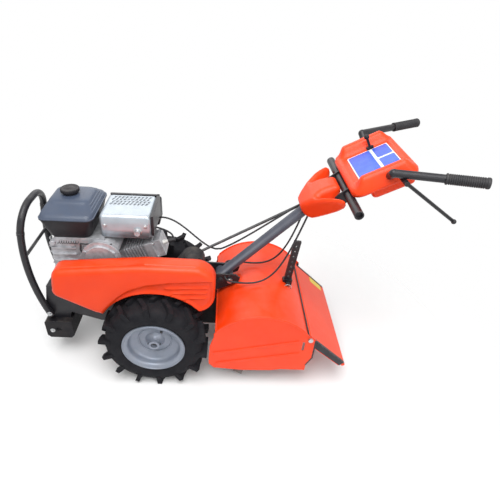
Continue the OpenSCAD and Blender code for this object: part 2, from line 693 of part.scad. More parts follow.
// Side, height on the shroud and droop of each cable to the gear case.
CABLES = [[1, 16, 0], [-1, 20, -16]];

// The throttle cable, from the back of the air cleaner along the column to the shroud.
THROTTLE = concat([[shaft_x - 190.05, -122, deck_z + 198], [shaft_x - 198, -122, deck_z + 198]],
                  bezier([[shaft_x - 206, -121, deck_z + 196], [-90, -104, 490], [-150, -78, 452], [-218, -50, 458]], 12),
                  bezier([[-238, -44, 464], [-300, -32, 500], [-400, -30, 590], on_shroud(-29, 62, 10)], 14),
                  [on_shroud(-29, 62, 0.05)]);

module control_cables() color(black) stand() {
  for (c = CABLES)
    hose(concat([on_shroud(c[0] * 31, c[1], 0.05)],
                bezier([on_shroud(c[0] * 31, c[1], 13), [-470 + c[2], c[0] * 34, 395], [-430 + c[2], c[0] * 62, 362], [-262, c[0] * 62, 398]], 22),
                [[-258, c[0] * (case_half + 14), 390], [-258, c[0] * (case_half + 6), 390]]), 3.5, 10);
  hose(THROTTLE, 3.5, 10);
}

gear_case();
engine_frame();
front_weight();
bumper();
belt_guard();
engine_pulley();
drive_pulley();
drive_belt();
crankcase();
side_cover();
engine_cylinder();
fan_housing();
recoil_starter();
fuel_tank();
fuel_cap();
muffler();
heat_shield();
air_cleaner();
wheel_axle();
rim_left();
rim_right();
tyre_left();
tyre_right();
tine_shaft();
tines_left();
tines_right();
tine_hood();
side_shield_left();
side_shield_right();
flap_rod();
levelling_flap();
stake_bracket();
depth_stake();
column_bracket();
handle_column();
clamp_bolt();
console_shroud();
console_panel();
cross_bar();
handlebar_left();
handlebar_right();
grip_left();
grip_right();
lever_left();
lever_right();
throttle_lever();
shift_rod();
control_cables();
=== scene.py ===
"""Dresses the rear-tine rotary tiller: finishes, moulded shells, hardware, cables and a plain studio.

Sizes and places are in millimetres from the middle of the wheel axle on the floor, as in the part's
source: X forward, Y to the operator's left, Z up. The function at() turns them into the frame's metres.
"""
from __future__ import annotations

import json
import logging
import math
from dataclasses import dataclass, field
from enum import Enum
from functools import partial
from typing import Callable, Iterable, Sequence

import bmesh
import bpy
from mathutils import Matrix, Vector
from mathutils.geometry import delaunay_2d_cdt

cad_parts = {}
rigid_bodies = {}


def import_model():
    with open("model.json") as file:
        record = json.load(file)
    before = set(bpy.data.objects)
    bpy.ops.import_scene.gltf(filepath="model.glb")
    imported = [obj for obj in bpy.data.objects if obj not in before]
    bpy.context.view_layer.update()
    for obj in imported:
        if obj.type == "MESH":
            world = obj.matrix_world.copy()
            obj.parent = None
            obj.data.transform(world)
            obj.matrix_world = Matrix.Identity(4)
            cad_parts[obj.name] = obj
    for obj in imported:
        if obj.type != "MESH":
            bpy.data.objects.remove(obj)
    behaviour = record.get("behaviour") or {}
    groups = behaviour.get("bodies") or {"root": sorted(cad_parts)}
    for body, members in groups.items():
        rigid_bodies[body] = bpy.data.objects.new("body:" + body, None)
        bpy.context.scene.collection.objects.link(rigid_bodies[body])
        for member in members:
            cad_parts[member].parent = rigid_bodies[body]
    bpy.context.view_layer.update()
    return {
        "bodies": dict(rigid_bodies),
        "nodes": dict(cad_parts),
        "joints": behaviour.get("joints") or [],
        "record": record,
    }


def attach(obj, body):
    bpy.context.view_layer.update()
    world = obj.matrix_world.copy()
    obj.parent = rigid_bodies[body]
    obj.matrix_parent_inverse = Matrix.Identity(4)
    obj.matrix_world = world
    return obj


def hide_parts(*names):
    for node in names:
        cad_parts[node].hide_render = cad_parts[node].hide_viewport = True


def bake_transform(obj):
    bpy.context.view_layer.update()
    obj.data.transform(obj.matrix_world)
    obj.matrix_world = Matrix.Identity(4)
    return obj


LOG = logging.getLogger("tiller")
MM = 0.001
AXLE_X = 248.0
AXLE_Z = 203.0
FORWARD = Vector((1, 0, 0))
LEFTWARD = Vector((0, 1, 0))
RIGHTWARD = Vector((0, -1, 0))
# The kind of filling that keeps only the triangles inside the given edges.
INSIDE_EDGES = 1
RANGE_SOCKETS = ("From Min", "From Max", "To Min", "To Max")

Colour = tuple[float, float, float]
Point = tuple[float, float, float]
Flat = tuple[float, float]
# The lower and upper end of two coordinates.
Box = tuple[float, float, float, float]


class Body(Enum):
    """The bodies of the frame that a piece can ride on."""

    CHASSIS = "chassis"
    WHEEL_LEFT = "wheel_left"
    WHEEL_RIGHT = "wheel_right"
    TINES = "tine_reel"
    FLAP = "flap"
    STAKE = "stake"
    HANDLE = "handle"


class Side(Enum):
    """The operator's left or right, as the sign of Y."""

    LEFT = 1
    RIGHT = -1


def at(x: float, y: float, z: float) -> Vector:
    """Turns millimetres from the axle into metres in the frame."""
    return Vector(((x + AXLE_X) * MM, y * MM, z * MM))


def way(x: float, y: float, z: float) -> Vector:
    """Returns a direction of length one."""
    return Vector((x, y, z)).normalized()


@dataclass(frozen=True)
class Slope:
    """A tilted plane across the machine: u runs back and up, v to the left, w out of the plane.

    Its origin is at x and z in millimetres, and its angle is above level in degrees.
    """

    x: float
    z: float
    angle: float

    def at(self, u: float, v: float, w: float) -> Vector:
        """Returns the point u, v, w of the plane in the frame's metres."""
        c = math.cos(math.radians(self.angle))
        s = math.sin(math.radians(self.angle))
        return at(self.x - u * c + w * s, v, self.z + u * s + w * c)


# Finishes


@dataclass(frozen=True)
class Finish:
    """One procedural finish: two tones of mottling, grain, dust on top and wear along edges.

    Lengths are in metres. The grain is a bump, and the tones, dust and wear change the colour.
    """

    name: str
    slot: str
    colour: Colour
    shade: Colour
    roughness: float
    metallic: float = 0.0
    coat: float = 0.0
    coat_roughness: float = 0.12
    mottle_size: float = 0.05
    grain_size: float = 0.002
    grain: float = 0.0
    dust: float = 0.0
    dust_size: float = 0.035
    dust_colour: Colour = (0.42, 0.36, 0.30)
    wear: float = 0.0
    wear_size: float = 0.012
    wear_colour: Colour = (0.30, 0.30, 0.31)
    edge: float = 0.0015
    specular: float = 0.5

    def material(self) -> bpy.types.Material:
        """Makes the finish's material, once.

        Returns:
            The Blender material.
        """
        label = f"{self.name}_finish"
        made = bpy.data.materials.get(label)
        if made:
            return made
        mat = bpy.data.materials.new(label)
        mat.use_nodes = True
        nodes, links = mat.node_tree.nodes, mat.node_tree.links
        shader = nodes["Principled BSDF"]
        shader.inputs["Metallic"].default_value = self.metallic
        shader.inputs["Coat Weight"].default_value = self.coat
        shader.inputs["Coat Roughness"].default_value = self.coat_roughness
        shader.inputs["Specular IOR Level"].default_value = self.specular
        place = nodes.new("ShaderNodeTexCoord").outputs["Object"]

        def noise(size: float, detail: float) -> bpy.types.NodeSocket:
            """Adds a noise of a given size in metres and returns its factor."""
            node = nodes.new("ShaderNodeTexNoise")
            node.inputs["Scale"].default_value = 1.0 / size
            node.inputs["Detail"].default_value = detail
            links.new(place, node.inputs["Vector"])
            return node.outputs["Fac"]

        def spread(value: bpy.types.NodeSocket, low: float, high: float, out_low: float,
                   out_high: float) -> bpy.types.NodeSocket:
            """Maps a range of values to another, clamped."""
            node = nodes.new("ShaderNodeMapRange")
            for key, number in zip(RANGE_SOCKETS, (low, high, out_low, out_high)):
                node.inputs[key].default_value = number
            links.new(value, node.inputs["Value"])
            return node.outputs["Result"]

        def blend(mask: bpy.types.NodeSocket, first: bpy.types.NodeSocket | Colour,
                  second: Colour) -> bpy.types.NodeSocket:
            """Mixes a colour into another by a mask."""
            node = nodes.new("ShaderNodeMix")
            node.data_type = "RGBA"
            links.new(mask, node.inputs[0])
            if isinstance(first, tuple):
                node.inputs[6].default_value = (*first, 1.0)
            else:
                links.new(first, node.inputs[6])
            node.inputs[7].default_value = (*second, 1.0)
            return node.outputs[2]

        def times(one: bpy.types.NodeSocket, two: bpy.types.NodeSocket) -> bpy.types.NodeSocket:
            """Multiplies two masks."""
            node = nodes.new("ShaderNodeMath")
            node.operation = "MULTIPLY"
            links.new(one, node.inputs[0])
            links.new(two, node.inputs[1])
            return node.outputs[0]

        fine = noise(self.grain_size, 3.0)
        colour = blend(spread(noise(self.mottle_size, 4.0), 0.35, 0.65, 0.0, 1.0), self.colour, self.shade)
        rough = spread(fine, 0.3, 0.7, self.roughness * 0.85, min(1.0, self.roughness * 1.2))
        rounded = nodes.new("ShaderNodeBevel")
        rounded.samples = 4
        rounded.inputs["Radius"].default_value = self.edge
        if self.dust or self.wear:
            shape = nodes.new("ShaderNodeNewGeometry")
        if self.wear:
            likeness = nodes.new("ShaderNodeVectorMath")
            likeness.operation = "DOT_PRODUCT"
            links.new(rounded.outputs[0], likeness.inputs[0])
            links.new(shape.outputs["Normal"], likeness.inputs[1])
            rubbed = spread(likeness.outputs["Value"], 0.99, 0.86, 0.0, self.wear)
            patches = spread(noise(self.wear_size, 5.0), 0.42, 0.6, 0.0, 1.0)
            colour = blend(times(rubbed, patches), colour, self.wear_colour)
        if self.dust:
            parts = nodes.new("ShaderNodeSeparateXYZ")
            links.new(shape.outputs["Normal"], parts.inputs[0])
            upward = spread(parts.outputs["Z"], -0.2, 1.0, 0.15, 1.0)
            lying = spread(noise(self.dust_size, 6.0), 0.38, 0.72, 0.0, self.dust)
            colour = blend(times(upward, lying), colour, self.dust_colour)
        links.new(colour, shader.inputs["Base Color"])
        links.new(rough, shader.inputs["Roughness"])
        bump = nodes.new("ShaderNodeBump")
        bump.inputs["Strength"].default_value = 1.0
        bump.inputs["Distance"].default_value = self.grain
        links.new(fine, bump.inputs["Height"])
        links.new(rounded.outputs[0], bump.inputs["Normal"])
        links.new(bump.outputs["Normal"], shader.inputs["Normal"])
        return mat


ORANGE_PAINT = Finish("orange_paint", "orange_paint", (0.95, 0.056, 0.004), (0.90, 0.048, 0.003), 0.40,
                      coat=0.06, specular=0.35, mottle_size=0.12, grain_size=0.0016, grain=0.00006,
                      dust=0.05, wear=0.5, wear_colour=(0.22, 0.07, 0.04))
ORANGE_PLASTIC = Finish("orange_plastic", "orange_plastic", (0.95, 0.058, 0.004), (0.91, 0.050, 0.003),
                        0.42, coat=0.04, specular=0.35, mottle_size=0.10, grain_size=0.0011, grain=0.00008,
                        dust=0.04)
BLACK_PAINT = Finish("black_paint", "black_paint", (0.010, 0.010, 0.014), (0.016, 0.016, 0.020), 0.36,
                     specular=0.4, mottle_size=0.04, grain_size=0.0015, grain=0.00006, dust=0.06, wear=0.6)
BLACK_IRON = Finish("black_iron", "black_iron", (0.008, 0.008, 0.011), (0.013, 0.012, 0.015), 0.54,
                    specular=0.18, mottle_size=0.03, grain_size=0.0022, grain=0.00035, dust=0.12, wear=0.5)
COLUMN_PAINT = Finish("column_paint", "black_paint", (0.060, 0.066, 0.090), (0.075, 0.082, 0.106), 0.42,
                      specular=0.35, mottle_size=0.05, grain_size=0.0014, grain=0.00006, dust=0.06,
                      wear=0.6)
ALLOY = Finish("cast_alloy", "alloy", (0.54, 0.55, 0.58), (0.38, 0.385, 0.405), 0.44, metallic=0.35,
               mottle_size=0.018, grain_size=0.0016, grain=0.00030, dust=0.16,
               dust_colour=(0.22, 0.20, 0.19))
TANK = Finish("tank_plastic", "tank_blue", (0.066, 0.088, 0.136), (0.052, 0.070, 0.112), 0.34, specular=0.4,
              mottle_size=0.07, grain_size=0.0010, grain=0.00010, dust=0.04)
BRIGHT = Finish("bright_sheet", "bright_shield", (0.47, 0.52, 0.57), (0.41, 0.455, 0.50), 0.32,
                metallic=0.5, mottle_size=0.05, grain_size=0.0012, grain=0.00008, dust=0.05)
BLACK_PLASTIC = Finish("black_plastic", "black_plastic", (0.008, 0.008, 0.012), (0.013, 0.013, 0.017), 0.46,
                       specular=0.3, mottle_size=0.04, grain_size=0.0010, grain=0.00014, dust=0.06)
RUBBER = Finish("tyre_rubber", "tyre", (0.009, 0.009, 0.012), (0.014, 0.014, 0.017), 0.74, specular=0.15,
                mottle_size=0.03, grain_size=0.0018, grain=0.00030, dust=0.10,
                dust_colour=(0.10, 0.095, 0.09))
GRIP_RUBBER = Finish("grip_rubber", "black_rubber", (0.012, 0.012, 0.015), (0.018, 0.018, 0.022), 0.58,
                     mottle_size=0.03, grain_size=0.0009, grain=0.00016, dust=0.05)
RIM = Finish("rim_silver", "rim_silver", (0.265, 0.295, 0.36), (0.215, 0.245, 0.30), 0.42, metallic=0.3,
             coat=0.08, mottle_size=0.06, grain_size=0.0015, grain=0.00008, dust=0.16, wear=0.3)
STEEL = Finish("bright_steel", "steel", (0.56, 0.57, 0.58), (0.44, 0.45, 0.46), 0.34, metallic=0.9,
               mottle_size=0.015, grain_size=0.0010, grain=0.00008, dust=0.08)
ROD_BLACK = Finish("rod_black", "steel", (0.030, 0.031, 0.034), (0.045, 0.046, 0.050), 0.40, metallic=0.3,
                   mottle_size=0.02, grain_size=0.0012, grain=0.00008, dust=0.08, wear=0.5)
TINE_STEEL = Finish("tine_steel", "tine_steel", (0.20, 0.19, 0.185), (0.11, 0.095, 0.085), 0.52,
                    metallic=0.7, mottle_size=0.02, grain_size=0.0016, grain=0.00025, dust=0.30,
                    dust_colour=(0.20, 0.15, 0.11))
PORCELAIN = Finish("porcelain", "alloy", (0.70, 0.69, 0.66), (0.64, 0.63, 0.60), 0.25, coat=0.3,
                   mottle_size=0.02, grain_size=0.0010, grain=0.00003)
LABEL_BLUE = Finish("label_blue", "orange_plastic", (0.055, 0.125, 0.62), (0.075, 0.155, 0.68), 0.32,
                    specular=0.3, mottle_size=0.03, grain_size=0.0010, grain=0.00003, edge=0.0002)
LABEL_YELLOW = Finish("label_yellow", "orange_paint", (0.86, 0.66, 0.03), (0.80, 0.60, 0.025), 0.36,
                      mottle_size=0.03, grain_size=0.0010, grain=0.00003, edge=0.0002)
LABEL_WHITE = Finish("label_white", "orange_plastic", (0.80, 0.83, 0.86), (0.74, 0.78, 0.82), 0.34,
                     specular=0.3, mottle_size=0.03, grain_size=0.0010, grain=0.00003, edge=0.0002)

CAD_FINISHES: dict[Finish, tuple[str, ...]] = {
    ORANGE_PAINT: ("tine_hood", "side_shield_left", "side_shield_right", "levelling_flap"),
    ORANGE_PLASTIC: ("belt_guard", "console_shroud", "console_panel"),
    BLACK_PAINT: ("engine_frame", "bumper", "stake_bracket", "depth_stake", "column_bracket", "cross_bar",
                  "handlebar_left", "handlebar_right", "lever_left", "lever_right"),
    BLACK_IRON: ("gear_case", "front_weight"),
    COLUMN_PAINT: ("handle_column",),
    ALLOY: ("crankcase", "side_cover", "engine_cylinder", "muffler"),
    TANK: ("fuel_tank",),
    BRIGHT: ("heat_shield",),
    BLACK_PLASTIC: ("fan_housing", "recoil_starter", "fuel_cap", "air_cleaner", "throttle_lever"),
    RUBBER: ("tyre_left", "tyre_right"),
    GRIP_RUBBER: ("grip_left", "grip_right", "control_cables", "drive_belt"),
    RIM: ("rim_left", "rim_right"),
    STEEL: ("engine_pulley", "drive_pulley", "wheel_axle", "tine_shaft", "flap_rod", "clamp_bolt"),
    ROD_BLACK: ("shift_rod",),
    TINE_STEEL: ("tines_left", "tines_right"),
}

# Widths in millimetres of the rounded edges that some CAD nodes get.
CAD_EDGES: dict[str, float] = {
    "front_weight": 6.0, "air_cleaner": 9.0, "muffler": 7.0, "crankcase": 3.0, "fan_housing": 7.0,
    "recoil_starter": 4.0, "console_shroud": 7.0, "engine_frame": 1.2, "gear_case": 4.0,
    "engine_cylinder": 1.2, "side_cover": 2.5, "column_bracket": 1.2, "stake_bracket": 1.2,
}


# Mesh making


@dataclass
class Shape:
    """The points and faces of a mesh, in the frame's metres."""

    points: list[Vector] = field(default_factory=list)
    faces: list[tuple[int, ...]] = field(default_factory=list)

    def add(self, points: Iterable[Vector], faces: Iterable[Sequence[int]]) -> Shape:
        """Adds points and the faces between them.

        Args:
            points: New points.
            faces: Faces by the numbers of the new points.

        Returns:
            The shape itself.
        """
        start = len(self.points)
        self.points.extend(points)
        self.faces.extend(tuple(start + i for i in face) for face in faces)
        return self

    def loft(self, rings: Sequence[Sequence[Vector]], capped: bool = True) -> Shape:
        """Joins closed rings of equal length into a skin.

        Args:
            rings: The rings, in order.
            capped: Whether the first and last ring are closed by a face.

        Returns:
            The shape itself.
        """
        n = len(rings[0])
        faces = [(i * n + k, i * n + (k + 1) % n, (i + 1) * n + (k + 1) % n, (i + 1) * n + k)
                 for i in range(len(rings) - 1) for k in range(n)]
        if capped:
            faces.append(tuple(range(n - 1, -1, -1)))
            faces.append(tuple((len(rings) - 1) * n + k for k in range(n)))
        return self.add([p for ring in rings for p in ring], faces)

    def tube(self, path: Sequence[Vector], radius: float, sides: int = 16) -> Shape:
        """Sweeps a circle along a path.

        Args:
            path: Points in metres.
            radius: Radius in millimetres.
            sides: Points round the circle.

        Returns:
            The shape itself.
        """
        rings = []
        across = None
        for i, point in enumerate(path):
            run = (path[min(i + 1, len(path) - 1)] - path[max(i - 1, 0)]).normalized()
            if across is None:
                across = run.cross(Vector((0, 0, 1)) if abs(run.z) < 0.9 else Vector((1, 0, 0)))
            across = (across - run * across.dot(run)).normalized()
            up = run.cross(across)
            turns = [2 * math.pi * k / sides for k in range(sides)]
            rings.append([point + (across * math.cos(t) + up * math.sin(t)) * radius * MM for t in turns])
        return self.loft(rings)

    def lathe(self, base: Vector, axis: Vector, profile: Sequence[Flat], sides: int = 40) -> Shape:
        """Turns a profile about an axis.

        Args:
            base: Where the axis starts, in metres.
            axis: Direction of the axis.
            profile: Radius and distance along the axis of each ring, in millimetres.
            sides: Points round each ring.

        Returns:
            The shape itself.
        """
        turn = axis.to_track_quat("Z", "Y").to_matrix()
        rings = []
        for radius, along in profile:
            angles = [2 * math.pi * k / sides for k in range(sides)]
            rings.append([base + turn @ Vector((radius * math.cos(a), radius * math.sin(a), along)) * MM
                          for a in angles])
        return self.loft(rings)

    def hex_bolt(self, base: Vector, axis: Vector, across: float, height: float) -> Shape:
        """Adds a bolt head with a washer under it, sizes in millimetres."""
        washer = ((0.82, 0.0), (0.82, 0.22), (0.78, 0.26))
        head = ((0.56, 0.2), (0.57, 0.9), (0.50, 1.0), (0.2, 1.0))
        for profile, sides in ((washer, 24), (head, 6)):
            self.lathe(base, axis, [(across * r, height * h) for r, h in profile], sides)
        return self

    def mirrored(self) -> Shape:
        """Returns the shape on the machine's other side."""
        points = [Vector((p.x, -p.y, p.z)) for p in self.points]
        return Shape(points, [tuple(reversed(face)) for face in self.faces])


def arc(x: float, z: float, radius: float, start: float, end: float, count: int) -> list[Flat]:
    """Returns points of an arc.

    Args:
        x: First coordinate of the centre.
        z: Second coordinate of the centre.
        radius: Radius.
        start: Angle of the first point in degrees.
        end: Angle of the last point in degrees.
        count: Number of points.

    Returns:
        The points as pairs.
    """
    turns = [math.radians(start + (end - start) * i / (count - 1)) for i in range(count)]
    return [(x + radius * math.cos(t), z + radius * math.sin(t)) for t in turns]


def on_circle(x: float, z: float, radius: float, turn: float) -> Flat:
    """Returns the point of a circle at an angle in degrees."""
    return x + radius * math.cos(math.radians(turn)), z + radius * math.sin(math.radians(turn))


def rounded(u0: float, u1: float, v0: float, v1: float, radius: float, count: int = 6) -> list[Flat]:
    """Returns a rectangle with rounded corners.

    Args:
        u0: Lower end of the first coordinate.
        u1: Upper end of the first coordinate.
        v0: Lower end of the second coordinate.
        v1: Upper end of the second coordinate.
        radius: Radius of the corners.
        count: Points at each corner.

    Returns:
        The ring of points.
    """
    low_u, high_u, low_v, high_v = u0 + radius, u1 - radius, v0 + radius, v1 - radius
    corners = ((high_u, high_v, 0), (low_u, high_v, 90), (low_u, low_v, 180), (high_u, low_v, 270))
    return [p for u, v, turn in corners for p in arc(u, v, radius, turn, turn + 90, count)]


def divided(ring: Sequence[Flat], step: float) -> list[Flat]:
    """Returns a ring with more points, no further apart than a step.

    Args:
        ring: The corners of the ring.
        step: The longest run without a point.

    Returns:
        The ring of points.
    """
    points: list[Flat] = []
    for (a, b), (c, d) in zip(ring, [*ring[1:], ring[0]]):
        parts = max(1, math.ceil(math.hypot(c - a, d - b) / step))
        points += [(a + (c - a) * k / parts, b + (d - b) * k / parts) for k in range(parts)]
    return points


def offset(ring: Sequence[Flat], depth: float) -> list[Flat]:
    """Returns the points of a ring moved inwards.

    Args:
        ring: The ring of points.
        depth: How far each point moves.

    Returns:
        The moved points.
    """
    after = [*ring[1:], ring[0]]
    depth = math.copysign(depth, sum(a * d - b * c for (a, b), (c, d) in zip(ring, after)))
    points: list[Flat] = []
    for (a, b), (u, v), (c, d) in zip([ring[-1], *ring[:-1]], ring, after):
        run = math.hypot(c - a, d - b)
        points.append((u - depth * (d - b) / run, v + depth * (c - a) / run))
    return points


def bezier(ends: Sequence[Vector], count: int) -> list[Vector]:
    """Returns points of a curve through four control points.

    Args:
        ends: The four control points.
        count: Number of steps.

    Returns:
        The points, one more than the steps.
    """
    a, b, c, d = ends
    steps = [i / count for i in range(count + 1)]
    return [a * (1 - t) ** 3 + b * 3 * t * (1 - t) ** 2 + c * 3 * t * t * (1 - t) + d * t ** 3 for t in steps]


def ease(value: float, low: float, high: float) -> float:
    """Rises smoothly from 0 at low to 1 at high."""
    t = min(1.0, max(0.0, (value - low) / (high - low)))
    return t * t * (3 - 2 * t)


def round_off(inset: float, radius: float) -> float:
    """Returns how far a rounded edge has fallen at a distance in from the outline."""
    left = radius - min(inset, radius)
    return radius - math.sqrt(max(0.0, radius ** 2 - left ** 2))


def contains(ring: Sequence[Flat], p: Flat) -> bool:
    """Tells whether a point is inside a ring."""
    odd = False
    for (ax, az), (bx, bz) in zip(ring, [*ring[1:], ring[0]]):
        if (az > p[1]) != (bz > p[1]) and p[0] < (bx - ax) * (p[1] - az) / (bz - az) + ax:
            odd = not odd
    return odd


def reach(ring: Sequence[Flat], p: Flat) -> float:
    """Returns a point's distance from a ring's line."""
    best = math.inf
    for (ax, az), (bx, bz) in zip(ring, [*ring[1:], ring[0]]):
        dx, dz = bx - ax, bz - az
        t = min(1.0, max(0.0, ((p[0] - ax) * dx + (p[1] - az) * dz) / (dx * dx + dz * dz + 1e-9)))
        best = min(best, math.hypot(p[0] - ax - t * dx, p[1] - az - t * dz))
    return best


@dataclass
class Panel:
    """A flat outline with holes, filled with triangles fine enough to be pressed into relief.

    The rows are distances from the outline at which points run along it.
    """

    outline: list[Flat]
    holes: list[list[Flat]] = field(default_factory=list)
    step: float = 9.0
    rows: tuple[float, ...] = ()

    def press(self, place: Callable[[float, float, float], Vector]) -> Shape:
        """Fills the outline and moves each point to its place.

        Args:
            place: Turns a flat point and its distance from the outline into metres in the frame.

        Returns:
            The pressed skin.
        """
        rings = [self.outline, *self.holes]
        points: list[Flat] = []
        edges: list[tuple[int, int]] = []
        for ring in rings:
            start, n = len(points), len(ring)
            points.extend(ring)
            edges.extend((start + i, start + (i + 1) % n) for i in range(n))
        for depth in self.rows:
            points.extend(p for p in offset(self.outline, depth) if reach(self.outline, p) > 0.97 * depth)
        clear = max(self.rows, default=0.0) + self.step * 0.4
        us, vs = [p[0] for p in self.outline], [p[1] for p in self.outline]
        for i in range(int((max(us) - min(us)) / self.step) + 1):
            for j in range(int((max(vs) - min(vs)) / self.step) + 1):
                p = (min(us) + (i + 0.5) * self.step, min(vs) + (j + 0.5) * self.step)
                if self.holds(p) and all(reach(ring, p) > clear for ring in rings):
                    points.append(p)
        flat, _, faces, *_ = delaunay_2d_cdt([Vector(p) for p in points], edges, [], INSIDE_EDGES, 1e-5)
        middles = [sum((flat[i] for i in face), Vector((0, 0))) / len(face) for face in faces]
        kept = [face for face, middle in zip(faces, middles) if not self.in_hole(tuple(middle))]
        return Shape().add([place(p.x, p.y, reach(self.outline, (p.x, p.y))) for p in flat], kept)

    def holds(self, p: Flat) -> bool:
        """Tells whether a point is in the outline and in no hole."""
        return contains(self.outline, p) and not self.in_hole(p)

    def in_hole(self, p: Flat) -> bool:
        """Tells whether a point is in a hole."""
        return any(contains(hole, p) for hole in self.holes)


@dataclass
class Workshop:
    """Turns shapes into dressed pieces that ride on a body of the frame.

    The merging distances are in metres. Edges sharper than the given angles in degrees are rounded.
    """

    frame: dict
    merge: float = 0.00003
    node_merge: float = 0.00002
    sharp: float = 32.0
    node_sharp: float = 40.0
    segments: int = 3

    def piece(self, name: str, shape: Shape, finish: Finish, body: Body | None, replaces: Sequence[str] = (),
              bevel: float = 0.0, smooth: float = 40.0, thick: float = 0.0) -> bpy.types.Object:
        """Makes one piece.

        Args:
            name: The piece's name.
            shape: Its points and faces.
            finish: Its finish.
            body: The body that it rides on, or None, where it rides on no body.
            replaces: CAD nodes that it stands for.
            bevel: Width of rounded edges in millimetres.
            smooth: Edges flatter than this angle in degrees are shaded smooth.
            thick: Thickness in millimetres that an open skin gets on its inner side.

        Returns:
            The new object.
        """
        mesh = bpy.data.meshes.new(name)
        mesh.from_pydata([tuple(p) for p in shape.points], [], shape.faces)
        skin = bmesh.new()
        skin.from_mesh(mesh)
        bmesh.ops.remove_doubles(skin, verts=skin.verts, dist=self.merge)
        bmesh.ops.recalc_face_normals(skin, faces=skin.faces)
        skin.to_mesh(mesh)
        skin.free()
        mesh.materials.append(finish.material())
        thing = bpy.data.objects.new(name, mesh)
        bpy.context.scene.collection.objects.link(thing)
        if thick:
            wall = thing.modifiers.new("wall", "SOLIDIFY")
            wall.thickness = thick * MM
            wall.offset = -1.0
        if bevel:
            self.round_edges(thing, bevel, self.sharp)
        mesh.shade_smooth()
        mesh.set_sharp_from_angle(angle=math.radians(smooth))
        if replaces:
            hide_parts(*replaces)
        if body:
            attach(thing, body.value)
        LOG.info("%s: %d points, %d faces", name, len(shape.points), len(shape.faces))
        return thing

    def round_edges(self, thing: bpy.types.Object, width: float, angle: float) -> None:
        """Rounds an object's edges.

        Args:
            thing: The object.
            width: Width of the rounding in millimetres.
            angle: Only edges sharper than this angle in degrees are rounded.
        """
        edge = thing.modifiers.new("rounded_edges", "BEVEL")
        edge.width = width * MM
        edge.segments = self.segments
        edge.limit_method = "ANGLE"
        edge.angle_limit = math.radians(angle)

    def dress(self) -> None:
        """Gives every CAD node its finish, joins its doubled points and rounds the edges of some."""
        for finish, names in CAD_FINISHES.items():
            for name in names:
                node = self.frame["nodes"][name]
                node.data.materials.clear()
                node.data.materials.append(finish.material())
                weld = node.modifiers.new("welded", "WELD")
                weld.merge_threshold = self.node_merge
                if name in CAD_EDGES:
                    self.round_edges(node, CAD_EDGES[name], self.node_sharp)
        LOG.info("dressed %d nodes", len(self.frame["nodes"]))


# Sub-assemblies


@dataclass
class Cables:
    """Two cables from the console's shroud to the gear case and the throttle cable to the engine.

    The rows of the fall hold a point's place and its share of the droop.
    """

    thickness: float = 7.0
    shroud: Flat = (-536.1, 664.1)
    tilt: float = 25.0
    case_exit: float = 31.0
    fall: tuple[tuple[float, float, float, float], ...] = (
        (-470, 34, 395, 1), (-430, 68, 368, 1), (-288, 68, 388, 0))
    turn: tuple[Point, ...] = ((-288, 68, 388), (-271, 68, 390), (-258, 55, 390), (-258, 38, 390))
    throttle_exit: Flat = (-29, 62)
    by_column: tuple[Point, ...] = ((-400, -30, 590), (-300, -32, 500), (-238, -44, 464))
    to_engine: tuple[Point, ...] = ((-218, -50, 458), (-150, -78, 452), (-78, -122, 552), (2, -122, 552))
    engine_end: Point = (9.9, -122, 552)

    def on_shroud(self, y: float, up: float) -> Vector:
        """Returns a point in the shroud where a cable leaves it, up along its face in millimetres."""
        lean = math.radians(self.tilt)
        return at(self.shroud[0] - up * math.sin(lean), y, self.shroud[1] + up * math.cos(lean))

    def build(self, shop: Workshop) -> None:
        rows = (("clutch_cable_left", Side.LEFT, 16, 0), ("shift_cable_right", Side.RIGHT, 20, -16))
        for name, side, up, droop in rows:
            hand = side.value
            fall = [at(x + droop * share, hand * y, z) for x, y, z, share in self.fall]
            path = bezier([self.on_shroud(hand * self.case_exit, up), *fall], 40)
            turn = bezier([at(x, hand * y, z) for x, y, z in self.turn], 12)
            self.lay(shop, name, path + turn[1:], turn[0])
        path = bezier([self.on_shroud(*self.throttle_exit), *(at(*p) for p in self.by_column)], 30)
        path += bezier([at(*p) for p in self.to_engine], 30)
        path += [at(*self.engine_end)]
        self.lay(shop, "throttle_cable", path, path[-2])

    def lay(self, shop: Workshop, name: str, path: list[Vector], held: Vector) -> None:
        """Makes one cable along a path from the shroud.

        Args:
            shop: Makes the piece.
            name: The cable's name.
            path: Its middle line in metres.
            held: A point of the cable near its chassis end; it is not used.
        """
        shape = Shape().tube(path, self.thickness / 2, 14)
        cable = shop.piece(name, shape, GRIP_RUBBER, None, ["control_cables"])
        tuple(path[1])
        tuple(held)
        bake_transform(cable)
        length = sum((b - a).length for a, b in zip(path, path[1:]))
        tuple(path[0])
        [tuple(q) for q in path]


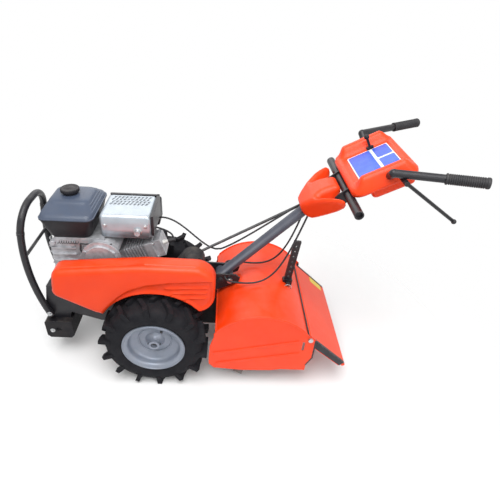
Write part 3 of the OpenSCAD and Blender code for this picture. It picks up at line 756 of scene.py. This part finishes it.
@dataclass
class BeltGuard:
    """The moulded guard over the belt drive: a rounded face, a panel set back along a crease and ribs.

    Each lobe has its middle and its radius, and each rib its two ends along X and its height.
    """

    face_y: float = 200.0
    deep: float = 68.0
    wall: float = 3.0
    edge: float = 20.0
    recess: float = 12.0
    arch: float = 215.0
    lobes: tuple[Point, ...] = (
        (308, 474, 40), (20, 470, 72), (-150, 466, 74), (-150, 412, 73), (205, 340, 20), (324, 420, 32))
    crease: tuple[Flat, ...] = (
        (176, 330), (150, 372), (122, 402), (84, 433), (26, 459), (-60, 475), (-260, 494))
    under_crease: tuple[Flat, ...] = ((-300, 300), (176, 180))
    ribs: tuple[Point, ...] = ((-190, -106, 404), (-192, -66, 426), (-196, -50, 448))
    rib_half: float = 5.5
    rib_slope: float = 3.5
    rib_height: float = 5.0
    rib_rise: float = 0.06

    def outline(self) -> list[Flat]:
        """Returns the ring round the lobes with the wheel's arch cut from it."""
        dots = {(round(a, 3), round(b, 3)) for x, z, r in self.lobes for a, b in arc(x, z, r, 0, 355, 60)}
        runs = (sorted(dots), sorted(dots, reverse=True))
        hull: list[Flat] = []
        for run in runs:
            start = len(hull)
            for p in run:
                while len(hull) >= start + 2 and self.turn(hull[-2], hull[-1], p) <= 0:
                    hull.pop()
                hull.append(p)
            hull.pop()
        clear = [math.hypot(x, z - AXLE_Z) > self.arch for x, z in hull]
        first = next(i for i in range(len(hull)) if clear[i] and not clear[i - 1])
        ring = [p for p in hull[first:] + hull[:first] if math.hypot(p[0], p[1] - AXLE_Z) > self.arch + 1]
        start = math.degrees(math.atan2(ring[-1][1] - AXLE_Z, ring[-1][0]))
        end = math.degrees(math.atan2(ring[0][1] - AXLE_Z, ring[0][0]))
        return ring + arc(0, AXLE_Z, self.arch, start, end, 34)

    @staticmethod
    def turn(a: Flat, b: Flat, c: Flat) -> float:
        """Tells which way the line a, b, c turns."""
        return (b[0] - a[0]) * (c[1] - a[1]) - (b[1] - a[1]) * (c[0] - a[0])

    def place(self, x: float, z: float, inset: float) -> Vector:
        """Puts a point of the face at its depth.

        Args:
            x: Forward, in millimetres.
            z: Height, in millimetres.
            inset: Distance from the outline.

        Returns:
            The point in metres.
        """
        y = self.face_y - round_off(inset, self.edge)
        line = [*self.crease, *self.under_crease]
        side = reach(line, (x, z)) * (1 if contains(line, (x, z)) else -1)
        low = ease(side, -5.0, 6.0) * ease(inset, 4.0, self.edge)
        raised = max(ease(self.rib_half - self.rib_gap(x, z, rib), 0.0, self.rib_slope) for rib in self.ribs)
        return at(x, y - self.recess * low + self.rib_height * raised * low, z)

    def rib_gap(self, x: float, z: float, rib: Point) -> float:
        """Returns a point's distance from a rib, which rises a little towards the back."""
        x0, x1, height = rib
        along = min(x1, max(x0, x))
        return math.hypot(x - along, z - height - self.rib_rise * (x1 - along))

    def build(self, shop: Workshop) -> None:
        """Makes the shell."""
        ring = self.outline()
        shape = Panel(ring, step=5.0).press(self.place)
        depths = [self.face_y - self.edge - (self.deep - self.edge) * k / 4 for k in range(5)]
        shape.loft([[at(x, y, z) for x, z in ring] for y in depths], capped=False)
        shop.piece("belt_guard_shell", shape, ORANGE_PLASTIC, Body.CHASSIS, ["belt_guard"], smooth=48,
                   thick=self.wall)


@dataclass
class FuelTank:
    """The moulded tank over the engine's front: tub, seam, stepped roof and a knurled cap.

    Each row of the tub and the roof has its height and its ends along X and Y. Each row of the cap has its
    radius, its height and the depth of its knurls.
    """

    tub: tuple[tuple[float, float, float, float, float], ...] = (
        (573, 232, 366, -92, 72), (574, 228, 370, -96, 76), (580, 224, 374, -100, 80),
        (643, 208, 390, -116, 97), (652, 206, 391, -118, 99), (653, 203, 393, -121, 102),
        (656, 203, 393, -121, 102))
    roof: tuple[tuple[float, float, float, float, float], ...] = (
        (656, 203, 393, -121, 102), (659, 203, 393, -121, 102), (660, 206, 391, -118, 99),
        (665, 207, 389, -116, 96), (672, 210, 386, -112, 87), (673, 213, 383, -108, 81),
        (679, 216, 381, -103, 71), (680, 219, 378, -99, 65), (687, 222, 375, -94, 55),
        (688, 225, 372, -90, 49), (694, 228, 370, -84, 42), (698, 234, 365, -78, 35),
        (700, 244, 354, -66, 24))
    corner: float = 26.0
    cap: tuple[Point, ...] = (
        (24, 0, 0), (26, 1, 0), (27, 7, 0), (31, 8, 0), (33, 9.5, 1.4), (33, 18, 1.4), (31.5, 20, 0.6),
        (28, 21, 0), (26, 20.4, 0), (12, 20.2, 0), (10, 21, 0), (2, 21, 0))
    cap_at: Point = (308.0, -22.0, 700.0)
    knurls: int = 28

    def build(self, shop: Workshop) -> None:
        """Makes the tank and its cap."""
        # The tub's walls get the black plastic finish as painted shade, and only the roof gets the tank's own
        # blue.
        for name, rows, finish in (("tank_tub_painted_shade", self.tub, BLACK_PLASTIC), ("tank_roof", self.roof, TANK)):
            rings = [[at(x, y, z) for x, y in rounded(*box, self.corner, 9)] for z, *box in rows]
            shop.piece(name, Shape().loft(rings), finish, Body.CHASSIS, ["fuel_tank"], smooth=38)
        rings = [[self.rim(*row, k) for k in range(self.knurls * 4)] for row in self.cap]
        shop.piece("cap_shell", Shape().loft(rings), BLACK_PLASTIC, Body.CHASSIS, ["fuel_cap"], smooth=35)

    def rim(self, radius: float, height: float, knurl: float, k: int) -> Vector:
        """Returns one point of the cap, with every second pair of points set in as a knurl."""
        turn = 2 * math.pi * k / (self.knurls * 4)
        r = radius - knurl * (k % 4 < 2)
        x, y, z = self.cap_at
        return at(x + r * math.cos(turn), y + r * math.sin(turn), z + height)


@dataclass
class HeatShield:
    """The bright sheet over the muffler, with rounded edges and slanted slots in the far part of its top."""

    x0: float = 12.0
    x1: float = 194.0
    y0: float = -100.0
    y1: float = 64.0
    low: float = 575.0
    high: float = 662.0
    edge: float = 12.0
    sheet: float = 1.6
    slot_rows: int = 4
    slots_in_row: int = 10
    slot_start: Flat = (22.0, 24.0)
    slot_pitch: Flat = (14.4, 17.0)
    slot_stagger: float = 5.0
    slot_half: float = 4.2
    slot_radius: float = 2.3
    slot_slant: float = 0.45
    frame_low: float = 583.0
    pipe: tuple[Flat, ...] = ((13.5, 0), (15.5, 1), (15.5, 4), (12, 5), (11, 16), (9, 16), (8.5, 2))

    def slots(self) -> list[list[Flat]]:
        """Returns the rings of the slanted slots."""
        ends = arc(0, self.slot_half, self.slot_radius, 0, 180, 5)
        ends += arc(0, -self.slot_half, self.slot_radius, 180, 360, 5)
        rings = []
        for row in range(self.slot_rows):
            for i in range(self.slots_in_row):
                x = self.x0 + self.slot_start[0] + i * self.slot_pitch[0] + (row % 2) * self.slot_stagger
                y = self.y0 + self.slot_start[1] + row * self.slot_pitch[1]
                rings.append([(x + u + self.slot_slant * v, y + v) for u, v in ends])
        return rings

    def place(self, x: float, y: float, inset: float) -> Vector:
        """Rounds the top down to the walls.

        Args:
            x: Forward, in millimetres.
            y: To the left, in millimetres.
            inset: Distance from the outline.

        Returns:
            The point in metres.
        """
        return at(x, y, self.high - round_off(inset, self.edge))

    def build(self, shop: Workshop) -> None:
        """Makes the sheet, the black frame behind it, the bolts and the pipe's end."""
        ring = rounded(self.x0, self.x1, self.y0, self.y1, 14, 7)
        shape = Panel(ring, self.slots(), 6.0).press(self.place)
        levels = (self.high - self.edge, 628, 605, self.low)
        shape.loft([[at(x, y, z) for x, y in ring] for z in levels], capped=False)
        shop.piece("shield_sheet", shape, BRIGHT, Body.CHASSIS, ["heat_shield"], smooth=50, thick=self.sheet)
        frame = Shape()
        rear = (self.x0 - 9, self.x0 + 1, self.y0 - 9, self.y1 - 4)
        far = (self.x0 - 9, self.x1 - 4, self.y0 - 9, self.y0 + 1)
        levels = (self.frame_low, self.frame_low + 3, self.high - 3, self.high)
        for bar in (rear, far):
            frame.loft([[at(x, y, z) for x, y in rounded(*bar, 4, 4)] for z in levels])
        shop.piece("shield_frame", frame, BLACK_PAINT, Body.CHASSIS, smooth=40)
        bolts = Shape()
        for x in (self.x0 + 20, self.x1 - 20):
            bolts.hex_bolt(at(x, self.y1 - 0.6, 622), LEFTWARD, 9, 5)
        bolts.lathe(at(60, 63, 600), LEFTWARD, self.pipe, 32)
        shop.piece("shield_bolts", bolts, STEEL, Body.CHASSIS, smooth=30)


@dataclass
class Console:
    """The sloping console between the handlebars, with its raised sides and a plain coloured plate.

    Rows of the foot and the box have their height and their scale. The blocks, the plate and the box are
    given by their ends along u and v.
    """

    plane: Slope = Slope(-650.0, 835.0, 29.0)
    front: float = -14.0
    length: float = 196.0
    half: float = 150.0
    corner: float = 34.0
    lobe: float = 29.0
    edge: float = 15.0
    foot: tuple[Flat, ...] = ((-20, 1.0), (-26, 0.99), (-28, 0.97))
    box: Box = (46, 186, -110, 110)
    box_rows: tuple[Flat, ...] = ((-24, 1.0), (-68, 1.0), (-75, 0.97), (-78, 0.92))
    blocks: tuple[Box, ...] = ((30, 104, -80, 82), (114, 164, -80, -7), (114, 164, 3, 82))
    plate: Box = (26, 168, -84, 86)

    def place(self, u: float, v: float, inset: float) -> Vector:
        """Raises the deck's two sides and rounds its edge.

        Args:
            u: Back along the deck from its front edge, in millimetres.
            v: To the left, in millimetres.
            inset: Distance from the outline.

        Returns:
            The point in metres.
        """
        drop = round_off(inset, self.edge)
        side = ease(abs(v), 92, 118) * ease(u, 2, 34) * ease(self.length - u, 2, 34) * ease(inset, 0, 20)
        dip = 3.0 * ease(inset, 22, 28) * (1 - ease(abs(v), 84, 94))
        return self.plane.at(u, v, self.lobe * side - dip - drop * (1 - side) * 0.9)

    def rings(self, ring: Sequence[Flat], middle: float, rows: Sequence[Flat]) -> list[list[Vector]]:
        """Returns a ring at several heights.

        Args:
            ring: The ring of points.
            middle: Where along u the ring shrinks to.
            rows: The height and the scale of each ring.

        Returns:
            The rings in metres.
        """
        return [[self.plane.at(middle + (u - middle) * k, v * k, w) for u, v in ring] for w, k in rows]

    def build(self, shop: Workshop) -> None:
        """Makes the console's shell, the box under it and the plate's blank blocks."""
        ring = rounded(self.front, self.length, -self.half, self.half, self.corner, 9)
        shape = Panel(ring, step=5.5).press(self.place)
        foot = self.rings(ring, self.length / 2, self.foot)
        shape.loft([[self.place(u, v, 0.0) for u, v in ring], *foot], capped=False)
        shape.add(foot[-1], [tuple(range(len(ring)))])
        shape.loft(self.rings(rounded(*self.box, 16, 5), (self.box[0] + self.box[1]) / 2, self.box_rows))
        shop.piece("console_shell", shape, ORANGE_PLASTIC, Body.HANDLE, ["console_panel"], smooth=44)
        blue = Shape()
        for block in self.blocks:
            blue.loft(self.rings(rounded(*block, 5, 4), 0.0, ((-4.0, 1.0), (-2.2, 1.0))))
        shop.piece("plate_blue", blue, LABEL_BLUE, Body.HANDLE, smooth=30)
        white = Shape().loft(self.rings(rounded(*self.plate, 6, 4), 0.0, ((-4.0, 1.0), (-2.6, 1.0))))
        shop.piece("plate_white", white, LABEL_WHITE, Body.HANDLE, smooth=30)


@dataclass
class Shroud:
    """The fairing from the column to the cross bar, and the plates that carry the bar and the console.

    Half of the fairing's outline is its flank and then its notch. Each row of heights has its place along the
    column, the underside and the top.
    """

    column: Slope = Slope(-241.0, 370.0, 47.0)
    flank: tuple[Flat, ...] = (
        (423, 22), (424, 28), (428, 35), (436, 42), (456, 56), (490, 80), (526, 106), (550, 124), (560, 130),
        (567, 132), (570, 127))
    notch: tuple[Flat, ...] = (
        (566, 120), (548, 102), (512, 72), (507, 68), (504, 63), (505, 57), (510, 54), (560, 44), (572, 41),
        (576, 36))
    heights: tuple[Point, ...] = (
        (423, -24, 28), (434, -35, 41), (456, -37, 46), (490, -37, 48), (526, -35, 42), (554, -28, 30),
        (577, -8, 15))
    edge: float = 20.0
    step: float = 5.0
    rows: tuple[float, ...] = (0.5, 2.0, 4.5, 8.0, 12.0, 16.5)
    plate: tuple[Flat, ...] = (
        (540, -34), (548, -40), (606, -40), (660, -64), (668, -56), (640, -14), (612, 0), (560, 4), (542, 0))
    plate_places: Flat = (-72, 66)
    plate_thick: float = 6.0

    def span(self, u: float) -> Flat:
        """Returns the heights of the fairing's underside and top at a place along the column."""
        for (a, *low), (b, *high) in zip(self.heights, self.heights[1:]):
            if u <= b:
                t = max(0.0, (u - a) / (b - a))
                return low[0] + (high[0] - low[0]) * t, low[1] + (high[1] - low[1]) * t
        return self.heights[-1][1:]

    def skin(self, u: float, v: float, inset: float, top: bool) -> Vector:
        """Returns a point of the top or the underside, rounded towards the outline.

        Args:
            u: Back along the column, in millimetres.
            v: To the left, in millimetres.
            inset: Distance from the outline.
            top: Whether the point is on the top.

        Returns:
            The point in metres.
        """
        low, high = self.span(u)
        drop = round_off(inset, min(self.edge, (high - low) / 2.2))
        return self.column.at(u, v, high - drop if top else low + drop)

    def build(self, shop: Workshop) -> None:
        """Makes the fairing, with a V-shaped notch on each side of its spine, and the two plates."""
        half = [*self.flank, *self.notch]
        ring = divided(half + [(u, -v) for u, v in reversed(half)], self.step)
        rims = [[self.skin(u, v, 0.0, top) for u, v in ring] for top in (True, False)]
        fairing = Shape().loft(rims, capped=False)
        for top in (True, False):
            skin = Panel(ring, step=self.step, rows=self.rows).press(partial(self.skin, top=top))
            fairing.add(skin.points, skin.faces)
        shop.piece("shroud_fairing", fairing, ORANGE_PLASTIC, Body.HANDLE, ["console_shroud"], smooth=50)
        plates = Shape()
        for v in self.plate_places:
            plates.loft([[self.column.at(u, y, w) for u, w in self.plate] for y in (v, v + self.plate_thick)])
        shop.piece("console_plates", plates, BLACK_PAINT, Body.HANDLE, smooth=30, bevel=1.0)


@dataclass
class Grips:
    """The ribbed rubber grips at the ends of the handlebars."""

    root: Point = (-737.0, 172.0, 913.0)
    end: Point = (-970.0, 262.0, 934.0)
    length: float = 112.0
    radius: float = 16.5
    ribs: int = 17
    rib: tuple[Flat, ...] = ((14.4, 0), (15.9, 1), (15.9, 3.2), (14.4, 4.2))

    def build(self, shop: Workshop) -> None:
        """Makes the left and the right grip."""
        run = (Vector(self.end) - Vector(self.root)).normalized()
        base = at(*(Vector(self.end) - run * self.length))
        profile = [(12.6, 0), (16.0, 0.2), (self.radius, 1.5), (self.radius, 5), (14.6, 6.5)]
        for i in range(self.ribs):
            start = 8 + i * (self.length - 20) / self.ribs
            profile += [(radius, start + along) for radius, along in self.rib]
        tail = ((14.6, 11), (16.4, 9), (16.4, 3), (14.5, 0.6), (10, 0), (2, 0))
        profile += [(radius, self.length - left) for radius, left in tail]
        shape = Shape().lathe(base, run, profile, 40)
        shop.piece("grip_rubber_left", shape, GRIP_RUBBER, Body.HANDLE, ["grip_left"], smooth=35)
        shop.piece("grip_rubber_right", shape.mirrored(), GRIP_RUBBER, Body.HANDLE, ["grip_right"], smooth=35)


@dataclass
class Wheels:
    """Hub collars and pins, pressed beads and valves of the two wheels."""

    wheel_y: float = 197.0
    disc: float = 8.0
    pin_half: float = 25.0
    inner_bead: float = 63.0
    outer_bead: float = 113.5
    hub: tuple[Flat, ...] = ((38, 0), (36, 3), (28, 8), (23, 16), (21.4, 20))
    valve: tuple[Flat, ...] = ((7.5, 0), (6.5, 8), (5.0, 14), (5.0, 22), (5.6, 23), (5.6, 32), (2, 33))
    valve_radius: float = 74.0
    valve_turn: float = 112.0

    def circle(self, radius: float, out: float, count: int) -> list[Vector]:
        """Returns a circle round the axle, a distance out from the wheel's middle in millimetres."""
        return [at(x, self.wheel_y + out, z) for x, z in arc(0, AXLE_Z, radius, 0, 360, count)]

    def build(self, shop: Workshop) -> None:
        """Dresses the left wheel and its mirror image."""
        pin_y = self.wheel_y + 31
        pin = Shape().tube([at(-self.pin_half, pin_y, AXLE_Z), at(self.pin_half, pin_y, AXLE_Z)], 3.2, 14)
        beads = Shape().tube(self.circle(self.inner_bead, 9.2, 73), 3.4, 10)
        beads.lathe(at(0, self.wheel_y + self.disc - 1, AXLE_Z), LEFTWARD, self.hub, 48)
        beads.tube(self.circle(self.outer_bead, 54.6, 97), 2.6, 8)
        x, z = on_circle(0, AXLE_Z, self.valve_radius, self.valve_turn)
        valve = Shape().lathe(at(x, self.wheel_y + 11, z), way(-0.15, 1.0, 0.25), self.valve, 16)
        rows = (("hub_pin", pin, ROD_BLACK), ("rim_beads", beads, RIM), ("valve", valve, GRIP_RUBBER))
        for side, body in ((Side.LEFT, Body.WHEEL_LEFT), (Side.RIGHT, Body.WHEEL_RIGHT)):
            for name, shape, finish in rows:
                made = shape if side is Side.LEFT else shape.mirrored()
                shop.piece(f"{name}_{side.name.lower()}", made, finish, body, smooth=35)


@dataclass
class Hood:
    """Rolled lips, dark edges and trims of the tine hood and its flap."""

    x: float = -400.0
    z: float = 155.0
    radius: float = 216.0
    half: float = 238.5
    rear_edge: tuple[Flat, ...] = (
        (-606.4, 168), (-606.4, 262), (-601, 262), (-601, 168), (-582, 126), (-585, 124))
    rear_edge_span: Flat = (232, 241)
    flap: Slope = Slope(-583.0, 267.0, -42.0)
    flap_half: float = 229.0
    flap_length: float = 205.0
    flap_plate: Box = (104, 186, -216, -180)

    def build(self, shop: Workshop) -> None:
        """Makes the hood's lips, the dark edges at its back, the flap's trims and its blank plate."""
        lips = Shape()
        x, z = on_circle(self.x, self.z, self.radius - 2, 38.5)
        lips.tube([at(x, y, z) for y in (-237, -120, 0, 120, 237)], 4.5, 14)
        rim = arc(self.x, self.z, self.radius + 0.5, 40, 144, 48)
        for side in Side:
            lips.tube([at(px, side.value * self.half, pz) for px, pz in rim], 3.2, 10)
        shop.piece("hood_lips", lips, ORANGE_PAINT, Body.CHASSIS, smooth=40)
        dark = Shape()
        x, z = on_circle(self.x, self.z, self.radius + 2.5, 143)
        dark.tube([at(x, y, z) for y in (-236, 0, 236)], 3.2, 12)
        for side in Side:
            dark.loft([[at(u, side.value * v, w) for u, w in self.rear_edge] for v in self.rear_edge_span])
        shop.piece("hood_dark_edges", dark, BLACK_PAINT, Body.CHASSIS, smooth=30)
        trims = Shape()
        end = self.flap_length
        cheek = [(10, 1.2), (end, 1.2), (end, -20), (60, -24), (24, -10)]
        strip = [(8, 1.2), (end + 2, 1.2), (end + 2, 3.2), (8, 3.2)]
        for side in Side:
            for outline, inner in ((cheek, 2.2), (strip, 10)):
                span = (self.flap_half - inner, self.flap_half + 0.8)
                trims.loft([[self.flap.at(u, side.value * v, w) for u, w in outline] for v in span])
        shop.piece("flap_trims", trims, BLACK_PAINT, Body.FLAP, smooth=30, bevel=0.8)
        plate = [[self.flap.at(u, v, w) for u, v in rounded(*self.flap_plate, 4, 4)] for w in (1.2, 2.3)]
        shop.piece("blank_plate", Shape().loft(plate), LABEL_YELLOW, Body.FLAP, smooth=30)


@dataclass
class Fittings:
    """The stake's ring and the bolts of the bumper and the frame."""

    ring_x: float = -513.0
    ring_y: float = 30.5
    ring_z: float = 337.0
    ring_radius: float = 15.0
    side_bolts: tuple[Point, ...] = ((426, 116.6, 232), (90, 91.6, 300), (90, 91.6, 230))
    weight_bolt: Point = (432, 117.6, 140)

    def build(self, shop: Workshop) -> None:
        """Makes the small fittings outside the engine."""
        circle = arc(self.ring_x, self.ring_z, self.ring_radius, 0, 360, 49)
        ring = Shape().tube([at(x, self.ring_y, z) for x, z in circle], 1.7, 8)
        shop.piece("stake_ring", ring, STEEL, Body.CHASSIS, smooth=40)
        bolts = Shape()
        for side in Side:
            for x, y, z in self.side_bolts:
                bolts.hex_bolt(at(x, side.value * y, z), Vector((0, side.value, 0)), 12, 7)
        bolts.hex_bolt(at(*self.weight_bolt), LEFTWARD, 12, 6)
        shop.piece("frame_bolts", bolts, STEEL, Body.CHASSIS, smooth=30)


@dataclass
class Engine:
    """The engine's open details: plug and lead, carburettor, bolts, ribs, governor and starter handle."""

    crank_x: float = 200.0
    crank_z: float = 460.0
    lean: float = 20.0
    lift: float = -22.0
    front_x: float = 375.5
    starter_y: float = -137.6
    plug: tuple[Flat, ...] = ((9, 0), (9, 9), (6, 10), (6, 22), (4.5, 24), (4.5, 30))
    plug_boot: tuple[Flat, ...] = ((7, 0), (8.5, 1), (8.5, 22), (7, 26), (3, 27))
    throat: tuple[Flat, ...] = ((20, 0), (24, 1), (24, 8), (16, 10), (16, 26), (22, 28), (22, 54), (18, 56))
    bowl: tuple[Flat, ...] = ((19, 0), (19, 20), (17, 24), (6, 25), (6, 29), (2, 30))
    boss: tuple[Flat, ...] = ((10, 0), (10, 17), (9, 18), (2, 18))
    boss_places: tuple[Flat, ...] = ((292, 384), (292, 552), (364, 552))
    rib_box: Box = (286, 373, 70, 84)
    ribs: int = 6
    rib_pitch: float = 27.0
    pull: tuple[Flat, ...] = ((4, 0), (7, 2), (9, 6), (8, 14), (9, 22), (6, 26), (2, 27))

    def along(self, d: float, y: float, up: float) -> Vector:
        """Returns a point of the leaning cylinder, d from the crankshaft and up from its middle line."""
        s, c = math.sin(math.radians(self.lean)), math.cos(math.radians(self.lean))
        return at(self.crank_x - d * c + up * s, y, self.crank_z + self.lift + d * s + up * c)

    def run(self) -> Vector:
        """Returns the direction of the leaning cylinder."""
        return (self.along(1, 0, 0) - self.along(0, 0, 0)).normalized()

    def build(self, shop: Workshop) -> None:
        """Makes the engine's small pieces."""
        self.ignition(shop)
        self.carburettor(shop)
        self.bolts(shop)
        self.block(shop)
        self.governor(shop)
        handle = Shape().lathe(at(257, -136, 558), way(0.1, -1.0, 0.25), self.pull, 24)
        shop.piece("starter_handle", handle, BLACK_PLASTIC, Body.CHASSIS, smooth=40)

    def ignition(self, shop: Workshop) -> None:
        """Makes the spark plug, its boot and its lead."""
        plug = Shape().lathe(self.along(236, 10, 4), self.run(), self.plug, 20)
        shop.piece("spark_plug", plug, PORCELAIN, Body.CHASSIS, smooth=35)
        lead = Shape().lathe(self.along(256, 10, 4), self.run(), self.plug_boot, 20)
        ends = [self.along(276, 10, 8), self.along(300, 0, 40), self.along(180, -20, 90), at(110, -64, 545)]
        lead.tube(bezier(ends, 24), 3.5, 12)
        shop.piece("plug_lead", lead, GRIP_RUBBER, Body.CHASSIS, smooth=40)

    def carburettor(self, shop: Workshop) -> None:
        """Makes the carburettor's throat and its bowl."""
        shape = Shape().lathe(at(70, -113, 560), LEFTWARD, self.throat, 32)
        shape.lathe(at(70, -78, 546), Vector((0, 0, -1)), self.bowl, 28)
        shop.piece("carburettor", shape, ALLOY, Body.CHASSIS, smooth=35)

    def bolts(self, shop: Workshop) -> None:
        """Makes the bolts of the crankcase, the cylinder head and the starter, and the drain plug."""
        bolts = Shape()
        for y in (-36, 58):
            for z in (384, 556):
                bolts.hex_bolt(at(self.front_x, y, z), FORWARD, 11, 6)
        for y, up in ((-44, 30), (44, 30), (-44, -30), (44, -30)):
            bolts.hex_bolt(self.along(207.5, y, up), self.run(), 10, 6)
        for turn in range(0, 360, 60):
            x, z = on_circle(self.crank_x, self.crank_z, 76, turn + 30)
            bolts.hex_bolt(at(x, self.starter_y, z), RIGHTWARD, 8, 4)
        bolts.hex_bolt(at(self.front_x, 12, 372), FORWARD, 15, 9)
        shop.piece("engine_bolts", bolts, STEEL, Body.CHASSIS, smooth=30)

    def block(self, shop: Workshop) -> None:
        """Makes the ribs and bosses on the near side of the crankcase."""
        ribs = Shape()
        ring = rounded(*self.rib_box, 4, 3)
        for i in range(self.ribs):
            z = 392 + self.rib_pitch * i
            ribs.loft([[at(x, y, z + up) for x, y in ring] for up in (0, 1, 5, 6)])
        for x, z in self.boss_places:
            ribs.lathe(at(x, self.rib_box[2], z), LEFTWARD, self.boss, 28)
        shop.piece("block_ribs", ribs, ALLOY, Body.CHASSIS, smooth=35)

    def governor(self, shop: Workshop) -> None:
        """Makes the governor's rods, its arm and its spring."""
        rods = Shape()
        rods.tube([at(262, 88, 556), at(230, 96, 560), at(176, 96, 556), at(150, 92, 562)], 2.6, 10)
        rods.tube([at(262, 88, 556), at(266, 88, 530), at(258, 90, 500)], 3.4, 10)
        rods.lathe(at(258, 84, 500), LEFTWARD, [(8, 0), (8, 12), (5, 13), (2, 13)], 20)
        coil = [at(266 + 1.6 * k, 90 + 5 * math.cos(1.2 * k), 561 + 5 * math.sin(1.2 * k)) for k in range(48)]
        rods.tube(coil, 1.3, 6)
        shop.piece("governor_rods", rods, ROD_BLACK, Body.CHASSIS, smooth=40)


# The studio


@dataclass
class Studio:
    """Camera at the photograph's angle, soft lamps, pale floor and white surroundings.

    Angles of the camera are in radians. Each lamp has its name, place, size and power.
    """

    eye: Point = (-232.5, 1264.8, 1393.8)
    yaw: float = -0.0277
    pitch: float = 0.5989
    roll: float = 0.054
    lens: float = 28.965
    shift: Flat = (0.0423, -0.0172)
    sky: float = 0.46
    lamp_rows: tuple[tuple[str, Point, float, float], ...] = (
        ("key", (0.3, 1.1, 3.1), 2.2, 92.0), ("fill", (-1.6, 2.2, 1.7), 1.8, 20.0),
        ("back", (0.4, -2.4, 2.2), 2.2, 20.0))
    lamp_aim: Point = (0.0, 0.0, 0.4)
    floor_tone: float = 0.93
    floor_half: float = 4.0
    fade: tuple[float, float, float, float] = (0.55, 1.35, 1.0, 0.0)

    def build(self) -> None:
        """Makes the camera, the lamps, the world and the floor."""
        self.camera()
        self.lamps()
        self.world()
        self.floor()

    def camera(self) -> None:
        """Puts the camera where the photograph was taken from."""
        data = bpy.data.cameras.new("camera")
        data.sensor_width = 36.0
        data.lens = self.lens
        data.shift_x, data.shift_y = self.shift
        data.clip_end = 200.0
        look = Vector((math.sin(self.yaw) * math.cos(self.pitch), -math.cos(self.yaw) * math.cos(self.pitch),
                       -math.sin(self.pitch)))
        level = look.cross(Vector((0, 0, 1))).normalized()
        upright = level.cross(look)
        right = level * math.cos(self.roll) + upright * math.sin(self.roll)
        up = upright * math.cos(self.roll) - level * math.sin(self.roll)
        camera = bpy.data.objects.new("camera", data)
        turn = Matrix((right, up, -look)).transposed()
        camera.matrix_world = Matrix.Translation(at(*self.eye)) @ turn.to_4x4()
        bpy.context.scene.collection.objects.link(camera)
        bpy.context.scene.camera = camera

    def lamps(self) -> None:
        """Hangs a large soft key lamp, a fill and a back lamp."""
        for name, place, size, power in self.lamp_rows:
            lamp = bpy.data.lights.new(name, "AREA")
            lamp.size = size
            lamp.energy = power
            thing = bpy.data.objects.new(name, lamp)
            thing.location = place
            aim = Vector(self.lamp_aim) - Vector(place)
            thing.rotation_euler = aim.to_track_quat("-Z", "Y").to_euler()
            bpy.context.scene.collection.objects.link(thing)

    def world(self) -> None:
        """Makes white surroundings that light the object at a plain level."""
        world = bpy.data.worlds.new("studio_white")
        world.use_nodes = True
        nodes, links = world.node_tree.nodes, world.node_tree.links
        ground = nodes["Background"]
        ground.inputs["Color"].default_value = (1.0, 1.0, 1.0, 1.0)
        path = nodes.new("ShaderNodeLightPath")
        seen = path.outputs["Is Camera Ray"]
        for ray in ("Is Glossy Ray", "Is Transmission Ray"):
            either = nodes.new("ShaderNodeMath")
            either.operation = "MAXIMUM"
            links.new(seen, either.inputs[0])
            links.new(path.outputs[ray], either.inputs[1])
            seen = either.outputs[0]
        level = nodes.new("ShaderNodeMapRange")
        level.inputs["To Min"].default_value = self.sky
        level.inputs["To Max"].default_value = 1.0
        links.new(seen, level.inputs["Value"])
        links.new(level.outputs["Result"], ground.inputs["Strength"])
        bpy.context.scene.world = world

    def floor(self) -> None:
        """Lays a pale floor that takes the object's shadow."""
        h = self.floor_half
        mesh = bpy.data.meshes.new("floor")
        mesh.from_pydata([(-h, -h, 0), (h, -h, 0), (h, h, 0), (-h, h, 0)], [], [(0, 1, 2, 3)])
        mat = bpy.data.materials.new("pale_floor")
        mat.use_nodes = True
        shader = mat.node_tree.nodes["Principled BSDF"]
        shader.inputs["Base Color"].default_value = (*[self.floor_tone] * 3, 1.0)
        shader.inputs["Roughness"].default_value = 0.9
        shader.inputs["Specular IOR Level"].default_value = 0.1
        nodes, links = mat.node_tree.nodes, mat.node_tree.links
        place = nodes.new("ShaderNodeNewGeometry")
        far = nodes.new("ShaderNodeVectorMath")
        far.operation = "LENGTH"
        links.new(place.outputs["Position"], far.inputs[0])
        fade = nodes.new("ShaderNodeMapRange")
        fade.interpolation_type = "SMOOTHSTEP"
        for key, number in zip(RANGE_SOCKETS, self.fade):
            fade.inputs[key].default_value = number
        links.new(far.outputs["Value"], fade.inputs["Value"])
        links.new(fade.outputs["Result"], shader.inputs["Alpha"])
        mesh.materials.append(mat)
        floor = bpy.data.objects.new("floor", mesh)
        bpy.context.scene.collection.objects.link(floor)


def main() -> None:
    logging.basicConfig(level=logging.INFO, format="%(name)s: %(message)s")
    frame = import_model()
    bpy.context.scene.view_settings.view_transform = "Standard"
    shop = Workshop(frame)
    Studio().build()
    Cables().build(shop)
    shop.dress()
    for kind in (BeltGuard, FuelTank, HeatShield, Shroud, Console, Grips, Wheels, Hood, Fittings, Engine):
        kind().build(shop)


if __name__ == "__main__":
    main()
